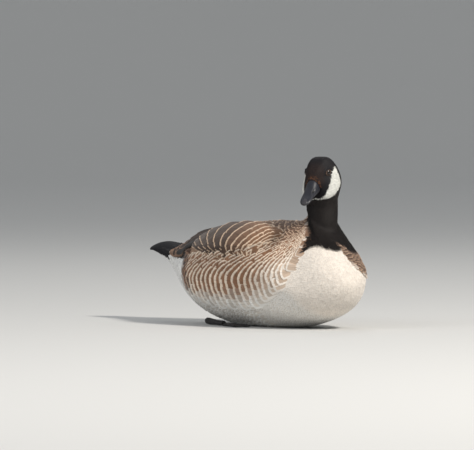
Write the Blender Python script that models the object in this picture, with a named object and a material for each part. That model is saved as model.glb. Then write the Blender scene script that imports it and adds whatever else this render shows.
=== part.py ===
"""A Canada goose afloat with its head turned to its right, as a life-size still model.

Metres, +Z up. +X is the way the body points and +Y is the bird's left. The origin is on
the flat of the belly, level with the soles of the tucked feet.
"""

from collections import namedtuple
from math import cos, exp, pi, radians, sin, sqrt

import bmesh
import bpy
from mathutils import Matrix, Vector

# Gaps between pieces
GAP = 0.0003
WING_GAP = 0.0009

# Edges sharper than this stay sharp in the shading
SHARP_ANGLE = radians(50)

# Rings of the body, from the tail tip to the root of the bill. The droop falls off from
# the ridge by this power, and a blunt ring widens by at most what this share gives
RING_POINTS = 32
DROOP_POWER = 1.5
BLUNT_FLOOR = 0.05
NORMAL_STEP = 0.02
NECK_X = 0.1385
NECK_RADIUS = 0.0300
HEAD_TURN = radians(-61.5)
HEAD_PITCH = radians(-30)
EYE_FORWARD = 0.0223
EYE_HEIGHT = 0.2935

Ring = namedtuple(
    "Ring", "top_x top_z low_x low_z half_width low_fullness droop bluntness", defaults=(0.0,))

TAIL_RINGS = [
    Ring(-0.3890, 0.1390, -0.3885, 0.1372, 0.0030, 0.0, 0.0010),
    Ring(-0.3800, 0.1435, -0.3790, 0.1380, 0.0150, 0.0, 0.0050),
    Ring(-0.3600, 0.1500, -0.3580, 0.1430, 0.0240, 0.0, 0.0095),
    Ring(-0.3320, 0.1535, -0.3280, 0.1300, 0.0300, 0.0, 0.0095),
]
TRUNK_RINGS = [
    Ring(-0.2980, 0.1520, -0.2920, 0.1060, 0.0370, 0.0, 0.0040),
    Ring(-0.2600, 0.1505, -0.2500, 0.0720, 0.0520, 0.0, 0.0),
    Ring(-0.2150, 0.1585, -0.2050, 0.0380, 0.0740, 0.0, 0.0),
    Ring(-0.1600, 0.1760, -0.1540, 0.0130, 0.0990, -0.04, 0.0),
    Ring(-0.0950, 0.1930, -0.0900, -0.0020, 0.1120, -0.06, 0.0),
    Ring(-0.0300, 0.2000, -0.0200, -0.0060, 0.1165, -0.05, 0.0),
    Ring(0.0350, 0.2025, 0.0600, -0.0050, 0.1140, -0.02, 0.0),
]
BREAST_RINGS = [
    Ring(0.0750, 0.2025, 0.1390, 0.0105, 0.1040, 0.08, 0.0),
    Ring(0.0960, 0.2055, 0.2010, 0.0370, 0.0780, 0.16, 0.0),
    Ring(0.1030, 0.2115, 0.2340, 0.0780, 0.0575, 0.22, 0.0),
    Ring(0.1062, 0.2195, 0.2290, 0.1140, 0.0405, 0.22, 0.0),
    Ring(0.1077, 0.2280, 0.2050, 0.1420, 0.0345, 0.14, 0.0),
    Ring(0.1083, 0.2365, 0.1830, 0.1640, 0.0315, 0.05, 0.0),
]
# Heights of the neck's rings behind and in front; its walls stand straight between
NECK_HEIGHTS = [(0.2405, 0.1840), (0.2450, 0.2020), (0.2510, 0.2170), (0.2600, 0.2290)]
# Rings of the head in its own frame, forward and up from between the eyes
HEAD_RINGS = [
    Ring(-0.0392, -0.0377, 0.0372, -0.0450, 0.0350, 0.0, 0.0),
    Ring(-0.0458, -0.0183, 0.0365, -0.0418, 0.0385, 0.05, 0.0, 0.05),
    Ring(-0.0446, 0.0003, 0.0360, -0.0392, 0.0380, 0.10, 0.0, 0.18),
    Ring(-0.0358, 0.0142, 0.0355, -0.0368, 0.0322, 0.11, 0.0, 0.42),
    Ring(-0.0217, 0.0215, 0.0350, -0.0346, 0.0268, 0.11, 0.0, 0.52),
    Ring(-0.0054, 0.0222, 0.0345, -0.0326, 0.0233, 0.11, 0.0, 0.50),
    Ring(0.0096, 0.0180, 0.0340, -0.0308, 0.0206, 0.11, 0.0, 0.36),
    Ring(0.0226, 0.0110, 0.0335, -0.0290, 0.0175, 0.10, 0.0, 0.20),
    Ring(0.0314, 0.0032, 0.0318, -0.0262, 0.0142, 0.04, 0.0, 0.10),
]

# Stretches of the body that are pieces of their own: first ring, last ring, steps
RUMP_END = 5.3
TRUNK_END = 10.4
BREAST_END = 16.2
NECK_SPLIT = 18.5
NECK_END = 21.6
STRETCHES = {
    "tail": (0.0, 3.6, 9),
    "rump": (3.6, RUMP_END, 4),
    "trunk": (RUMP_END, TRUNK_END, 12),
    "breast": (TRUNK_END, BREAST_END, 12),
    "neck_lower": (BREAST_END, NECK_SPLIT, 4),
    "neck_upper": (NECK_SPLIT, NECK_END, 5),
}
HEAD_STEPS = 18

# Folded wings, laid over the trunk: lengthwise places as ring numbers
WING_FRONT = 11.3
WING_REAR = 6.2
WING_TIP = 4.45
TIP_CUT = 0.02
WING_THICKNESS = 0.0085
WING_EDGE = 0.0022
TIP_THICKNESS = 0.0042
TIP_EDGE = 0.0012
SWELL_START = 0.08
WING_GRID = (18, 10)
TIP_GRID = (10, 5)
# Edges of the wing, as angles down from the back's ridge: in the middle of its length,
# and the change towards its front and its rear
WING_TOP, WING_TOP_FRONT, WING_TOP_REAR = radians(7), radians(45), radians(10)
WING_LOW, WING_LOW_FRONT, WING_LOW_REAR = radians(79), radians(-26), radians(-17)
TIP_TOP, TIP_TOP_REAR = radians(18), radians(38)
TIP_LOW, TIP_LOW_REAR = radians(61), radians(3)
TIP_TOP_POWER = 1.2

# Bill in the head's frame: forward, culmen, cutting edge, half-width
BILL_UPPER = [
    (0.0323, 0.0026, -0.0164, 0.0136),
    (0.0418, -0.0016, -0.0152, 0.0131),
    (0.0540, -0.0062, -0.0142, 0.0122),
    (0.0660, -0.0098, -0.0146, 0.0114),
    (0.0770, -0.0116, -0.0160, 0.0110),
    (0.0832, -0.0132, -0.0176, 0.0098),
    (0.0872, -0.0158, -0.0190, 0.0060),
]
BILL_LOWER = [
    (0.0323, -0.0168, -0.0254, 0.0124),
    (0.0440, -0.0156, -0.0236, 0.0116),
    (0.0560, -0.0147, -0.0214, 0.0106),
    (0.0680, -0.0152, -0.0200, 0.0098),
    (0.0780, -0.0166, -0.0198, 0.0086),
    (0.0824, -0.0180, -0.0198, 0.0062),
]
BILL_POINTS = 14
BILL_ROUNDNESS = 0.8

# Eyes: the ball is sunk, so that only its front shows
EYE_RADIUS = 0.0064
EYE_SIDE = 0.0195
EYE_SEGMENTS = 14
EYE_RINGS = 8

# Tucked legs: the shank lies under the belly's side, the half-closed foot before it
LEG_PATH = [(-0.1380, 0.0620, 0.0076), (-0.1330, 0.0626, 0.0072), (-0.1200, 0.0650, 0.0068),
            (-0.0920, 0.0710, 0.0056), (-0.0645, 0.0770, 0.0052)]
LEG_RADII = [0.0036, 0.0062, 0.0060, 0.0046, 0.0048]
LEG_SIDES = 12
FOOT_X = -0.0660
FOOT_Y = 0.0780
FOOT_HALF_ANGLE = radians(18)
HEEL_REACH = 0.008
HEEL_WIDENING = 0.9
TOE_ANGLES = (radians(-15), 0.0, radians(15))
TOE_LENGTHS = (0.060, 0.076, 0.066)
WEB_REACH = 0.84
WEB_THICKNESS = 0.0018
TOE_HEIGHT = 0.0042
TOE_WIDTH = 0.0042
TOE_ANGLE_WIDTH = radians(3.2)
TOE_TAPER = 0.35
WEB_HOLLOW = 0.25
FOOT_COLUMNS = 18
FOOT_ROWS = 6


def clear_scene():
    for thing in list(bpy.data.objects):
        bpy.data.objects.remove(thing, do_unlink=True)


def make_material(name, colour, roughness):
    material = bpy.data.materials.new(name)
    material.use_nodes = True
    shader = material.node_tree.nodes["Principled BSDF"]
    shader.inputs["Base Color"].default_value = (*colour, 1.0)
    shader.inputs["Roughness"].default_value = roughness
    shader.inputs["Metallic"].default_value = 0.0
    return material


def make_object(name, mesh_builder, material):
    mesh = bpy.data.meshes.new(name)
    bmesh.ops.recalc_face_normals(mesh_builder, faces=mesh_builder.faces)
    mesh_builder.to_mesh(mesh)
    mesh_builder.free()
    mesh.shade_smooth()
    mesh.set_sharp_from_angle(angle=SHARP_ANGLE)
    mesh.materials.append(material)
    thing = bpy.data.objects.new(name, mesh)
    bpy.context.scene.collection.objects.link(thing)
    return thing


def head_point(forward, side, up):
    """A point given in the head's frame, pitched, moved to the neck and turned."""
    pitch = Matrix.Rotation(-HEAD_PITCH, 3, "Y")
    turn = Matrix.Rotation(HEAD_TURN, 3, "Z")
    level = pitch @ Vector((forward, side, up)) + Vector((EYE_FORWARD, 0.0, EYE_HEIGHT))
    return turn @ level + Vector((NECK_X, 0.0, 0.0))


def head_ring(ring):
    """A ring of the head's own frame, pitched into the unturned body's frame."""
    cosine = cos(HEAD_PITCH)
    sine = sin(HEAD_PITCH)
    ends = []
    for forward, up in ((ring.top_x, ring.top_z), (ring.low_x, ring.low_z)):
        ends.append(NECK_X + EYE_FORWARD + forward * cosine - up * sine)
        ends.append(EYE_HEIGHT + forward * sine + up * cosine)
    return Ring(*ends, *ring[4:])


def neck_rings():
    rings = []
    for behind, before in NECK_HEIGHTS:
        rings.append(Ring(NECK_X - NECK_RADIUS, behind, NECK_X + NECK_RADIUS, before,
                          NECK_RADIUS, 0.0, 0.0))
    return rings


BODY_RINGS = TAIL_RINGS + TRUNK_RINGS + BREAST_RINGS + neck_rings()
BODY_RINGS += [head_ring(ring) for ring in HEAD_RINGS]
LAST_RING = len(BODY_RINGS) - 1
TURN_START = len(TAIL_RINGS + TRUNK_RINGS + BREAST_RINGS)
TURN_END = TURN_START + len(NECK_HEIGHTS)


def ring_at(place):
    """The ring at a place between the named ones, on a smooth curve through them."""
    index = min(int(place), LAST_RING - 1)
    part = place - index
    near = [BODY_RINGS[min(max(index + step, 0), LAST_RING)] for step in (-1, 0, 1, 2)]
    values = []
    for before, start, end, after in zip(*near):
        slope_start = 0.5 * (end - before)
        slope_end = 0.5 * (after - start)
        rise = end - start
        values.append(start + part * (slope_start + part * (
            3.0 * rise - 2.0 * slope_start - slope_end
            + part * (slope_start + slope_end - 2.0 * rise))))
    return Ring(*values)


def body_point(place, angle):
    """The surface at a ring place; the angle runs from the back down the left side."""
    ring = ring_at(place)
    along = cos(angle)
    across = sin(angle)
    side = ring.half_width * across * (1.0 - ring.low_fullness * along)
    side *= max(abs(across), BLUNT_FLOOR) ** -ring.bluntness
    x = 0.5 * (ring.top_x + ring.low_x + along * (ring.top_x - ring.low_x))
    z = 0.5 * (ring.top_z + ring.low_z + along * (ring.top_z - ring.low_z))
    z -= ring.droop * abs(across) ** DROOP_POWER
    turned = (place - TURN_START) / (TURN_END - TURN_START)
    turn = HEAD_TURN * min(max(turned, 0.0), 1.0)
    reach = x - NECK_X
    return Vector((
        NECK_X + reach * cos(turn) - side * sin(turn),
        reach * sin(turn) + side * cos(turn),
        max(z, 0.0),
    ))


def body_normal(place, angle):
    ahead = body_point(place + NORMAL_STEP, angle)
    behind = body_point(place - NORMAL_STEP, angle)
    after = body_point(place, angle + NORMAL_STEP)
    before = body_point(place, angle - NORMAL_STEP)
    return (ahead - behind).cross(after - before).normalized()


def ring_vertices(mesh_builder, place, shift):
    """One ring of points, moved by shift along the normal of the ring's plane."""
    half_step = pi / RING_POINTS
    points = [body_point(place, half_step + 2.0 * pi * k / RING_POINTS)
              for k in range(RING_POINTS)]
    across = points[RING_POINTS // 4] - points[3 * RING_POINTS // 4]
    down = points[RING_POINTS // 2] - points[0]
    normal = across.cross(down).normalized()
    forward = body_point(min(place + NORMAL_STEP, LAST_RING), 1.0) - body_point(place, 1.0)
    if forward.length > 0.0 and normal.dot(forward) < 0.0:
        normal = -normal
    return [mesh_builder.verts.new(point + normal * shift) for point in points]


def loft_rings(mesh_builder, rings):
    """Faces between each ring and the next, with a cap at both ends."""
    count = len(rings[0])
    for ring, after in zip(rings, rings[1:]):
        for k in range(count):
            following = (k + 1) % count
            mesh_builder.faces.new((ring[k], ring[following], after[following], after[k]))
    mesh_builder.faces.new(rings[0])
    mesh_builder.faces.new(list(reversed(rings[-1])))


def make_stretch(name, first, last, steps, material):
    """A length of the body between two thin cuts."""
    builder = bmesh.new()
    rings = []
    for k in range(steps + 1):
        place = first + (last - first) * k / steps
        shift = 0.0
        if k == 0 and first > 0.0:
            shift = 0.5 * GAP
        if k == steps and last < LAST_RING:
            shift = -0.5 * GAP
        rings.append(ring_vertices(builder, place, shift))
    loft_rings(builder, rings)
    return make_object(name, builder, material)


def make_ball(name, centre, radius, material):
    builder = bmesh.new()
    bmesh.ops.create_uvsphere(builder, u_segments=EYE_SEGMENTS, v_segments=EYE_RINGS,
                              radius=radius)
    turn = Matrix.Rotation(HEAD_TURN, 4, "Z") @ Matrix.Rotation(pi / 2, 4, "X")
    bmesh.ops.transform(builder, matrix=Matrix.Translation(centre) @ turn,
                        verts=builder.verts)
    return make_object(name, builder, material)


def make_head(material):
    """The head with a socket cut for each eye."""
    head = make_stretch("head", NECK_END, LAST_RING, HEAD_STEPS, material)
    for side in (-1, 1):
        socket = make_ball("socket_guide", head_point(0.0, side * EYE_SIDE, 0.0),
                           EYE_RADIUS + GAP, material)
        socket.hide_render = True
        socket.display_type = "WIRE"
        cut = head.modifiers.new("socket", "BOOLEAN")
        cut.operation = "DIFFERENCE"
        cut.object = socket
    return head


def make_eyes(material):
    for name, side in (("eye_left", 1), ("eye_right", -1)):
        make_ball(name, head_point(0.0, side * EYE_SIDE, 0.0), EYE_RADIUS, material)


def wing_edges(length_share):
    """Upper and lower edge of the folded wing, from its front, 0, to its rear, 1."""
    front_share = 1.0 - length_share
    upper = WING_TOP + WING_TOP_FRONT * front_share ** 4 + WING_TOP_REAR * length_share ** 3
    lower = WING_LOW + WING_LOW_FRONT * front_share ** 3 + WING_LOW_REAR * length_share ** 2
    return upper, lower


def tip_edges(length_share):
    """Edges of the folded flight feathers, which narrow to the wing's tip."""
    upper = TIP_TOP + TIP_TOP_REAR * length_share ** TIP_TOP_POWER
    lower = TIP_LOW + TIP_LOW_REAR * length_share ** 2
    return upper, lower


def shell_over_body(name, side, places, edges, thickness, edge_thickness, grid, material):
    """A thin closed shell that lies just off the body between two edges."""
    rows, columns = grid
    front, rear = places
    builder = bmesh.new()
    layers = []
    for outer in (False, True):
        layer = []
        for i in range(rows + 1):
            length_share = i / rows
            upper, lower = edges(length_share)
            place = front + (rear - front) * length_share
            line = []
            for j in range(columns + 1):
                across = j / columns
                angle = side * (upper + (lower - upper) * across)
                swell = sqrt(sin(pi * across))
                swell *= sqrt(sin(pi * min(0.5, SWELL_START + length_share)))
                height = WING_GAP
                if outer:
                    height += edge_thickness + (thickness - edge_thickness) * swell
                normal = body_normal(place, angle)
                line.append(builder.verts.new(body_point(place, angle) + normal * height))
            layer.append(line)
        layers.append(layer)
    for layer in layers:
        for i in range(rows):
            for j in range(columns):
                builder.faces.new((layer[i][j], layer[i][j + 1],
                                   layer[i + 1][j + 1], layer[i + 1][j]))
    inner_rim = rim_of(layers[0])
    outer_rim = rim_of(layers[1])
    for k, inner in enumerate(inner_rim):
        following = (k + 1) % len(inner_rim)
        builder.faces.new((inner, inner_rim[following], outer_rim[following], outer_rim[k]))
    return make_object(name, builder, material)


def rim_of(layer):
    """The points round the edge of a grid of points, in order."""
    rim = list(layer[0])
    rim += [line[-1] for line in layer[1:-1]]
    rim += list(reversed(layer[-1]))
    rim += [line[0] for line in reversed(layer[1:-1])]
    return rim


def make_wings(wing_material, tip_material):
    tip_front = WING_REAR - TIP_CUT
    for name, side in (("left", 1), ("right", -1)):
        shell_over_body("wing_" + name, side, (WING_FRONT, WING_REAR), wing_edges,
                        WING_THICKNESS, WING_EDGE, WING_GRID, wing_material)
        shell_over_body("primaries_" + name, side, (tip_front, WING_TIP), tip_edges,
                        TIP_THICKNESS, TIP_EDGE, TIP_GRID, tip_material)


def bill_section(builder, forward, top, bottom, half_width, upward):
    """A half-round section of a mandible: flat at the cutting edge."""
    flat, crest = (bottom, top) if upward else (top, bottom)
    section = []
    for k in range(BILL_POINTS + 1):
        angle = pi * k / BILL_POINTS
        side = half_width * cos(angle)
        up = flat + (crest - flat) * sin(angle) ** BILL_ROUNDNESS
        section.append(builder.verts.new(head_point(forward, side, up)))
    return section


def make_mandible(name, sections, upward, material):
    builder = bmesh.new()
    rings = [bill_section(builder, *section, upward) for section in sections]
    loft_rings(builder, rings)
    return make_object(name, builder, material)


def make_leg(name, side, material):
    """The shank: a round bar, thickest at the heel."""
    builder = bmesh.new()
    points = [Vector((x, side * y, z)) for x, y, z in LEG_PATH]
    rings = []
    for k, (point, radius) in enumerate(zip(points, LEG_RADII)):
        ahead = points[min(k + 1, len(points) - 1)]
        behind = points[max(k - 1, 0)]
        turn = (ahead - behind).to_track_quat("Z", "Y")
        ring = []
        for j in range(LEG_SIDES):
            angle = 2.0 * pi * j / LEG_SIDES
            spoke = Vector((radius * cos(angle), radius * sin(angle), 0.0))
            ring.append(builder.verts.new(point + turn @ spoke))
        rings.append(ring)
    loft_rings(builder, rings)
    return make_object(name, builder, material)


def foot_reach(angle):
    """How far the foot goes in a direction: out to each toe, less between them."""
    reach = 0.0
    for toe_angle, length in zip(TOE_ANGLES, TOE_LENGTHS):
        off = (angle - toe_angle) / TOE_ANGLE_WIDTH
        peak = exp(-off * off)
        reach = max(reach, length * (WEB_REACH + (1.0 - WEB_REACH) * peak)
                    * (1.0 - WEB_HOLLOW * abs(angle - toe_angle)))
    return reach


def foot_height(x, y):
    """Height of the foot's upper side: webs with the three toes standing up from them."""
    height = WEB_THICKNESS
    for toe_angle, length in zip(TOE_ANGLES, TOE_LENGTHS):
        along = x * cos(toe_angle) + y * sin(toe_angle)
        off = (y * cos(toe_angle) - x * sin(toe_angle)) / TOE_WIDTH
        taper = 1.0 - TOE_TAPER * min(max(along / length, 0.0), 1.0)
        height = max(height, WEB_THICKNESS + TOE_HEIGHT * taper * exp(-off * off))
    return height


def make_foot(name, side, material):
    """A webbed foot, half closed and flat on the ground."""
    builder = bmesh.new()
    layers = []
    for upper in (False, True):
        layer = []
        for i in range(FOOT_ROWS + 1):
            line = []
            for j in range(FOOT_COLUMNS + 1):
                angle = FOOT_HALF_ANGLE * (2.0 * j / FOOT_COLUMNS - 1.0)
                reach = HEEL_REACH + (foot_reach(angle) - HEEL_REACH) * i / FOOT_ROWS
                x = reach * cos(angle)
                y = reach * sin(angle) * (1.0 + HEEL_WIDENING * (1.0 - i / FOOT_ROWS) ** 3)
                z = foot_height(x, y) if upper else 0.0
                line.append(builder.verts.new((FOOT_X + x, side * (FOOT_Y + y), z)))
            layer.append(line)
        layers.append(layer)
    for layer in layers:
        for i in range(FOOT_ROWS):
            for j in range(FOOT_COLUMNS):
                builder.faces.new((layer[i][j], layer[i][j + 1],
                                   layer[i + 1][j + 1], layer[i + 1][j]))
    sole_rim = rim_of(layers[0])
    upper_rim = rim_of(layers[1])
    for k, low in enumerate(sole_rim):
        following = (k + 1) % len(sole_rim)
        builder.faces.new((low, sole_rim[following], upper_rim[following], upper_rim[k]))
    return make_object(name, builder, material)


def build_goose():
    black = make_material("black_plumage", (0.012, 0.011, 0.013), 0.8)
    tail_black = make_material("tail_plumage", (0.010, 0.010, 0.013), 0.6)
    brown = make_material("brown_plumage", (0.16, 0.10, 0.065), 0.85)
    wing_brown = make_material("wing_plumage", (0.075, 0.045, 0.030), 0.8)
    flight = make_material("flight_plumage", (0.030, 0.022, 0.020), 0.7)
    cream = make_material("breast_plumage", (0.72, 0.64, 0.56), 0.85)
    white = make_material("vent_plumage", (0.78, 0.77, 0.74), 0.85)
    horn = make_material("bill_horn", (0.022, 0.024, 0.032), 0.45)
    skin = make_material("foot_skin", (0.020, 0.020, 0.021), 0.55)
    eye = make_material("eye_dark", (0.010, 0.006, 0.004), 0.08)
    plumage = {
        "tail": tail_black,
        "rump": white,
        "trunk": brown,
        "breast": cream,
        "neck_lower": black,
        "neck_upper": black,
    }
    for name, (first, last, steps) in STRETCHES.items():
        make_stretch(name, first, last, steps, plumage[name])
    make_head(black)
    make_eyes(eye)
    make_wings(wing_brown, flight)
    make_mandible("bill_upper", BILL_UPPER, True, horn)
    make_mandible("bill_lower", BILL_LOWER, False, horn)
    for name, side in (("left", 1), ("right", -1)):
        make_leg("leg_" + name, side, skin)
        make_foot("foot_" + name, side, skin)


clear_scene()
build_goose()
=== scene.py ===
"""A Canada goose afloat with its head turned, finished with skin, feathers, bill, eyes and feet.

Metres, +Z up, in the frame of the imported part: +X is the way the body points and +Y is the
bird's left. A spot on the body is given as a place, the number of a ring counted from the
tail, and an angle round the ring from the back's ridge, positive on the bird's left.
"""

from collections import namedtuple
from math import cos, pi, radians, sin

import bmesh
import bpy
import numpy as np
from mathutils import Matrix, Vector, kdtree


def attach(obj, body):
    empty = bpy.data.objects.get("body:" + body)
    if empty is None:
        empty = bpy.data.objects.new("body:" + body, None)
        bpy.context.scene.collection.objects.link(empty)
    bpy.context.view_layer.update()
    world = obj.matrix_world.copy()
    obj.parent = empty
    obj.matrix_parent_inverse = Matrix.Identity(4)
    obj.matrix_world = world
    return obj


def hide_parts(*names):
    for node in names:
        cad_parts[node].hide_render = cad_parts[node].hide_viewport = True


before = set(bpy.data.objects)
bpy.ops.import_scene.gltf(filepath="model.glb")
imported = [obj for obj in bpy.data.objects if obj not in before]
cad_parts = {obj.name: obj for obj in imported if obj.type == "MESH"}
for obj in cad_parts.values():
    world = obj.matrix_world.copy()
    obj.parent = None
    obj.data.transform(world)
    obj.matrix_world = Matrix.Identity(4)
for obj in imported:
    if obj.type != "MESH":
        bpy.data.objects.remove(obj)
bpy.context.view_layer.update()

RANDOM = np.random.default_rng(58)

# The photograph's camera: where it looks from, how far off, and where the origin falls
FRAME_WIDTH = 474
FRAME_HEIGHT = 450
CAMERA_AZIMUTH = radians(52.0)
CAMERA_ELEVATION = radians(1.6)
CAMERA_DISTANCE = 10.0
PIXELS_PER_METRE = 525.0
AIM_HEIGHT = 0.08
AIM_PIXEL = (276.4, 284.0)
SENSOR_WIDTH = 36.0
FLOOR_REACH = 14.0
COVE_RADIUS = 12.0
COVE_STEPS = 12

# Rings of the body: top_x top_z low_x low_z half_width low_fullness droop bluntness
NECK_X = 0.1385
NECK_RADIUS = 0.0300
HEAD_TURN = radians(-61.5)
HEAD_PITCH = radians(-30)
EYE_FORWARD = 0.0223
EYE_HEIGHT = 0.2935
DROOP_POWER = 1.5
BLUNT_FLOOR = 0.05
TRUNK_RINGS = [
    (-0.3890, 0.1390, -0.3885, 0.1372, 0.0030, 0.0, 0.0010, 0.0),
    (-0.3800, 0.1435, -0.3790, 0.1380, 0.0150, 0.0, 0.0050, 0.0),
    (-0.3600, 0.1500, -0.3580, 0.1430, 0.0240, 0.0, 0.0095, 0.0),
    (-0.3320, 0.1535, -0.3280, 0.1300, 0.0300, 0.0, 0.0095, 0.0),
    (-0.2980, 0.1520, -0.2920, 0.1060, 0.0370, 0.0, 0.0040, 0.0),
    (-0.2600, 0.1505, -0.2500, 0.0720, 0.0520, 0.0, 0.0, 0.0),
    (-0.2150, 0.1585, -0.2050, 0.0380, 0.0740, 0.0, 0.0, 0.0),
    (-0.1600, 0.1760, -0.1540, 0.0130, 0.0990, -0.04, 0.0, 0.0),
    (-0.0950, 0.1930, -0.0900, -0.0020, 0.1120, -0.06, 0.0, 0.0),
    (-0.0300, 0.2000, -0.0200, -0.0060, 0.1165, -0.05, 0.0, 0.0),
    (0.0350, 0.2025, 0.0600, -0.0050, 0.1140, -0.02, 0.0, 0.0),
    (0.0750, 0.2025, 0.1390, 0.0105, 0.1040, 0.08, 0.0, 0.0),
    (0.0960, 0.2055, 0.2010, 0.0370, 0.0780, 0.16, 0.0, 0.0),
    (0.1030, 0.2115, 0.2340, 0.0780, 0.0575, 0.22, 0.0, 0.0),
    (0.1062, 0.2195, 0.2290, 0.1140, 0.0405, 0.22, 0.0, 0.0),
    (0.1077, 0.2280, 0.2050, 0.1420, 0.0345, 0.14, 0.0, 0.0),
    (0.1083, 0.2365, 0.1830, 0.1640, 0.0315, 0.05, 0.0, 0.0),
]
# Heights of the neck's rings behind and in front
NECK_HEIGHTS = [(0.2405, 0.1840), (0.2450, 0.2020), (0.2510, 0.2170), (0.2600, 0.2290)]
# Rings of the head in its own frame, forward and up from between the eyes
HEAD_RINGS = [
    (-0.0392, -0.0377, 0.0372, -0.0450, 0.0350, 0.0, 0.0, 0.0),
    (-0.0458, -0.0183, 0.0365, -0.0418, 0.0385, 0.05, 0.0, 0.05),
    (-0.0446, 0.0003, 0.0360, -0.0392, 0.0380, 0.10, 0.0, 0.18),
    (-0.0358, 0.0142, 0.0355, -0.0368, 0.0322, 0.11, 0.0, 0.42),
    (-0.0217, 0.0215, 0.0350, -0.0346, 0.0268, 0.11, 0.0, 0.52),
    (-0.0054, 0.0222, 0.0345, -0.0326, 0.0233, 0.11, 0.0, 0.50),
    (0.0096, 0.0180, 0.0340, -0.0308, 0.0206, 0.11, 0.0, 0.36),
    (0.0226, 0.0110, 0.0335, -0.0290, 0.0175, 0.10, 0.0, 0.20),
    (0.0314, 0.0032, 0.0318, -0.0262, 0.0142, 0.04, 0.0, 0.10),
]
SLOPE_STEP = 0.02
TAIL_ROOF = 96.0
NECK_FOOT = 13.0
HEAD_START = 21.6

# Depth of the coat at ring places: the skin lies this far inside the CAD's body
COAT_PLACES = [0.0, 3.0, 5.0, 13.0, 16.0, 21.0, 23.0, 26.0, 28.0, 29.0]
COAT_DEPTHS = [0.0010, 0.0020, 0.0035, 0.0035, 0.0024, 0.0020, 0.0016, 0.0012, 0.0009, 0.0006]
LOWEST = 0.0004

# The far cheek is trimmed and the near one filled: depth, and the spot's place, angle and size
CHEEK_TRIM = 0.0042
FAR_CHEEK = (23.4, -104.0, 1.9, 38.0)
CHEEK_FULLER = 0.0010
NEAR_CHEEK = (22.2, 76.0, 1.5, 26.0)

# The folded wing, which lifts the feathers over it: ring places, angles and thickness
WING_FRONT = 11.3
WING_REAR = 6.2
WING_TOP, WING_TOP_FRONT, WING_TOP_REAR = 7.0, 45.0, 10.0
WING_LOW, WING_LOW_FRONT, WING_LOW_REAR = 79.0, -26.0, -17.0
WING_THICKNESS = 0.0094
WING_EDGE = 0.0031
WING_SWELL_START = 0.08
WING_REACH = 1.16

# A tip's pale fringe narrows to this share where its row runs along the body
NARROWEST_FRINGE = 0.35

# Rows of feather tips: the first and last ring place, then the spacing at a few ring places
FLANK_ROWS = (4.58, 12.0), ((6.5, 9.5, 12.0), (0.225, 0.250, 0.165))
WING_ROWS = (7.6, 11.6), ((7.6, 9.0, 11.6), (0.26, 0.25, 0.14))

# Ring places, and the lengths, widths and lifts of the feathers there
FLANK_SIZES = [(6.5, 9.0, 10.5, 11.5, 12.4), (0.046, 0.050, 0.040, 0.026, 0.018),
               (0.030, 0.034, 0.027, 0.018, 0.013), (0.0042, 0.0048, 0.0044, 0.0038, 0.0034)]
WING_SIZES = [(6.9, 9.0, 10.0, 11.0, 11.6), (0.060, 0.060, 0.046, 0.030, 0.022),
              (0.038, 0.038, 0.030, 0.020, 0.015), (0.0044, 0.0044, 0.0042, 0.0038, 0.0036)]

# Feathers in no rows: how far apart, how long and how wide
FACE = (0.00125, 0.0040, 0.0018)
HEAD = (0.0016, 0.0062, 0.0024)
NECK = (0.0020, 0.0090, 0.0028)
BREAST = (0.0034, 0.0150, 0.0066)
BELLY_COAT = (0.0062, 0.0240, 0.0120)
MANTLE_COAT = (0.0056, 0.0170, 0.0105)
BACK = (0.0095, 0.0280, 0.0200)
VENT = (0.0055, 0.0220, 0.0105)
RUMP = (0.0065, 0.0210, 0.0130)

# Long feathers of each wing's rear: pairs are the first feather's value and the step to the next
LongFeathers = namedtuple("LongFeathers", "count place angle turn lift length width")
TERTIALS = LongFeathers(6, (6.25, -0.27), (14.0, 7.6), (2.0, 1.5), (0.0145, -0.0010), 0.110, 0.032)
PRIMARIES = LongFeathers(8, (5.35, -0.14), (54.0, 0.8), (4.0, 0.0), (0.0095, -0.0006), 0.125, 0.0175)

# Tail feathers: how many on each side of the middle one, their length, width and lift
TAIL_SIDE_COUNT = 9
TAIL_PLACE, TAIL_SWEEP, TAIL_SWEEP_POWER = 0.35, 1.9, 1.6
TAIL_LENGTH = 0.105
TAIL_WIDTH, TAIL_NARROWING = 0.0175, 0.003
TAIL_LIFT, TAIL_LIFT_DROP = 0.0034, 0.0016
UNDERTAIL_LIFT = 0.0012

# Eyes in the head's frame
EYE_RADIUS = 0.0064
EYE_SIDE = 0.0195
EYE_RAISE = 0.0016
GAZE_AHEAD = radians(24)
GAZE_UP = radians(10)
LID_LENGTH = 0.0052
LID_HEIGHT = 0.0045
SOCKET_DEPTH = 0.0010
LID_PROUD = 0.00045
BROW_PROUD = 0.0005
LID_OUTER = 1.22
LID_MIDDLE = 1.08
LID_FADE = 2.0
LORE_HOLLOW = 0.0022
LORE_SPOT = (0.0135, -0.0010, 0.0075, 0.0080)

# Bill in the head's frame: forward, culmen, cutting edge, half-width
BILL_UPPER = [
    (0.0270, 0.0032, -0.0160, 0.0118),
    (0.0323, 0.0026, -0.0164, 0.0134),
    (0.0418, -0.0016, -0.0152, 0.0131),
    (0.0540, -0.0062, -0.0142, 0.0122),
    (0.0660, -0.0098, -0.0146, 0.0114),
    (0.0770, -0.0116, -0.0160, 0.0110),
    (0.0832, -0.0132, -0.0176, 0.0098),
    (0.0872, -0.0158, -0.0190, 0.0060),
]
BILL_LOWER = [
    (0.0270, -0.0168, -0.0245, 0.0110),
    (0.0323, -0.0168, -0.0254, 0.0124),
    (0.0440, -0.0156, -0.0236, 0.0116),
    (0.0560, -0.0147, -0.0214, 0.0106),
    (0.0680, -0.0152, -0.0200, 0.0098),
    (0.0780, -0.0166, -0.0198, 0.0086),
    (0.0824, -0.0180, -0.0198, 0.0062),
]
BILL_ROUNDNESS = 0.8

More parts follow.
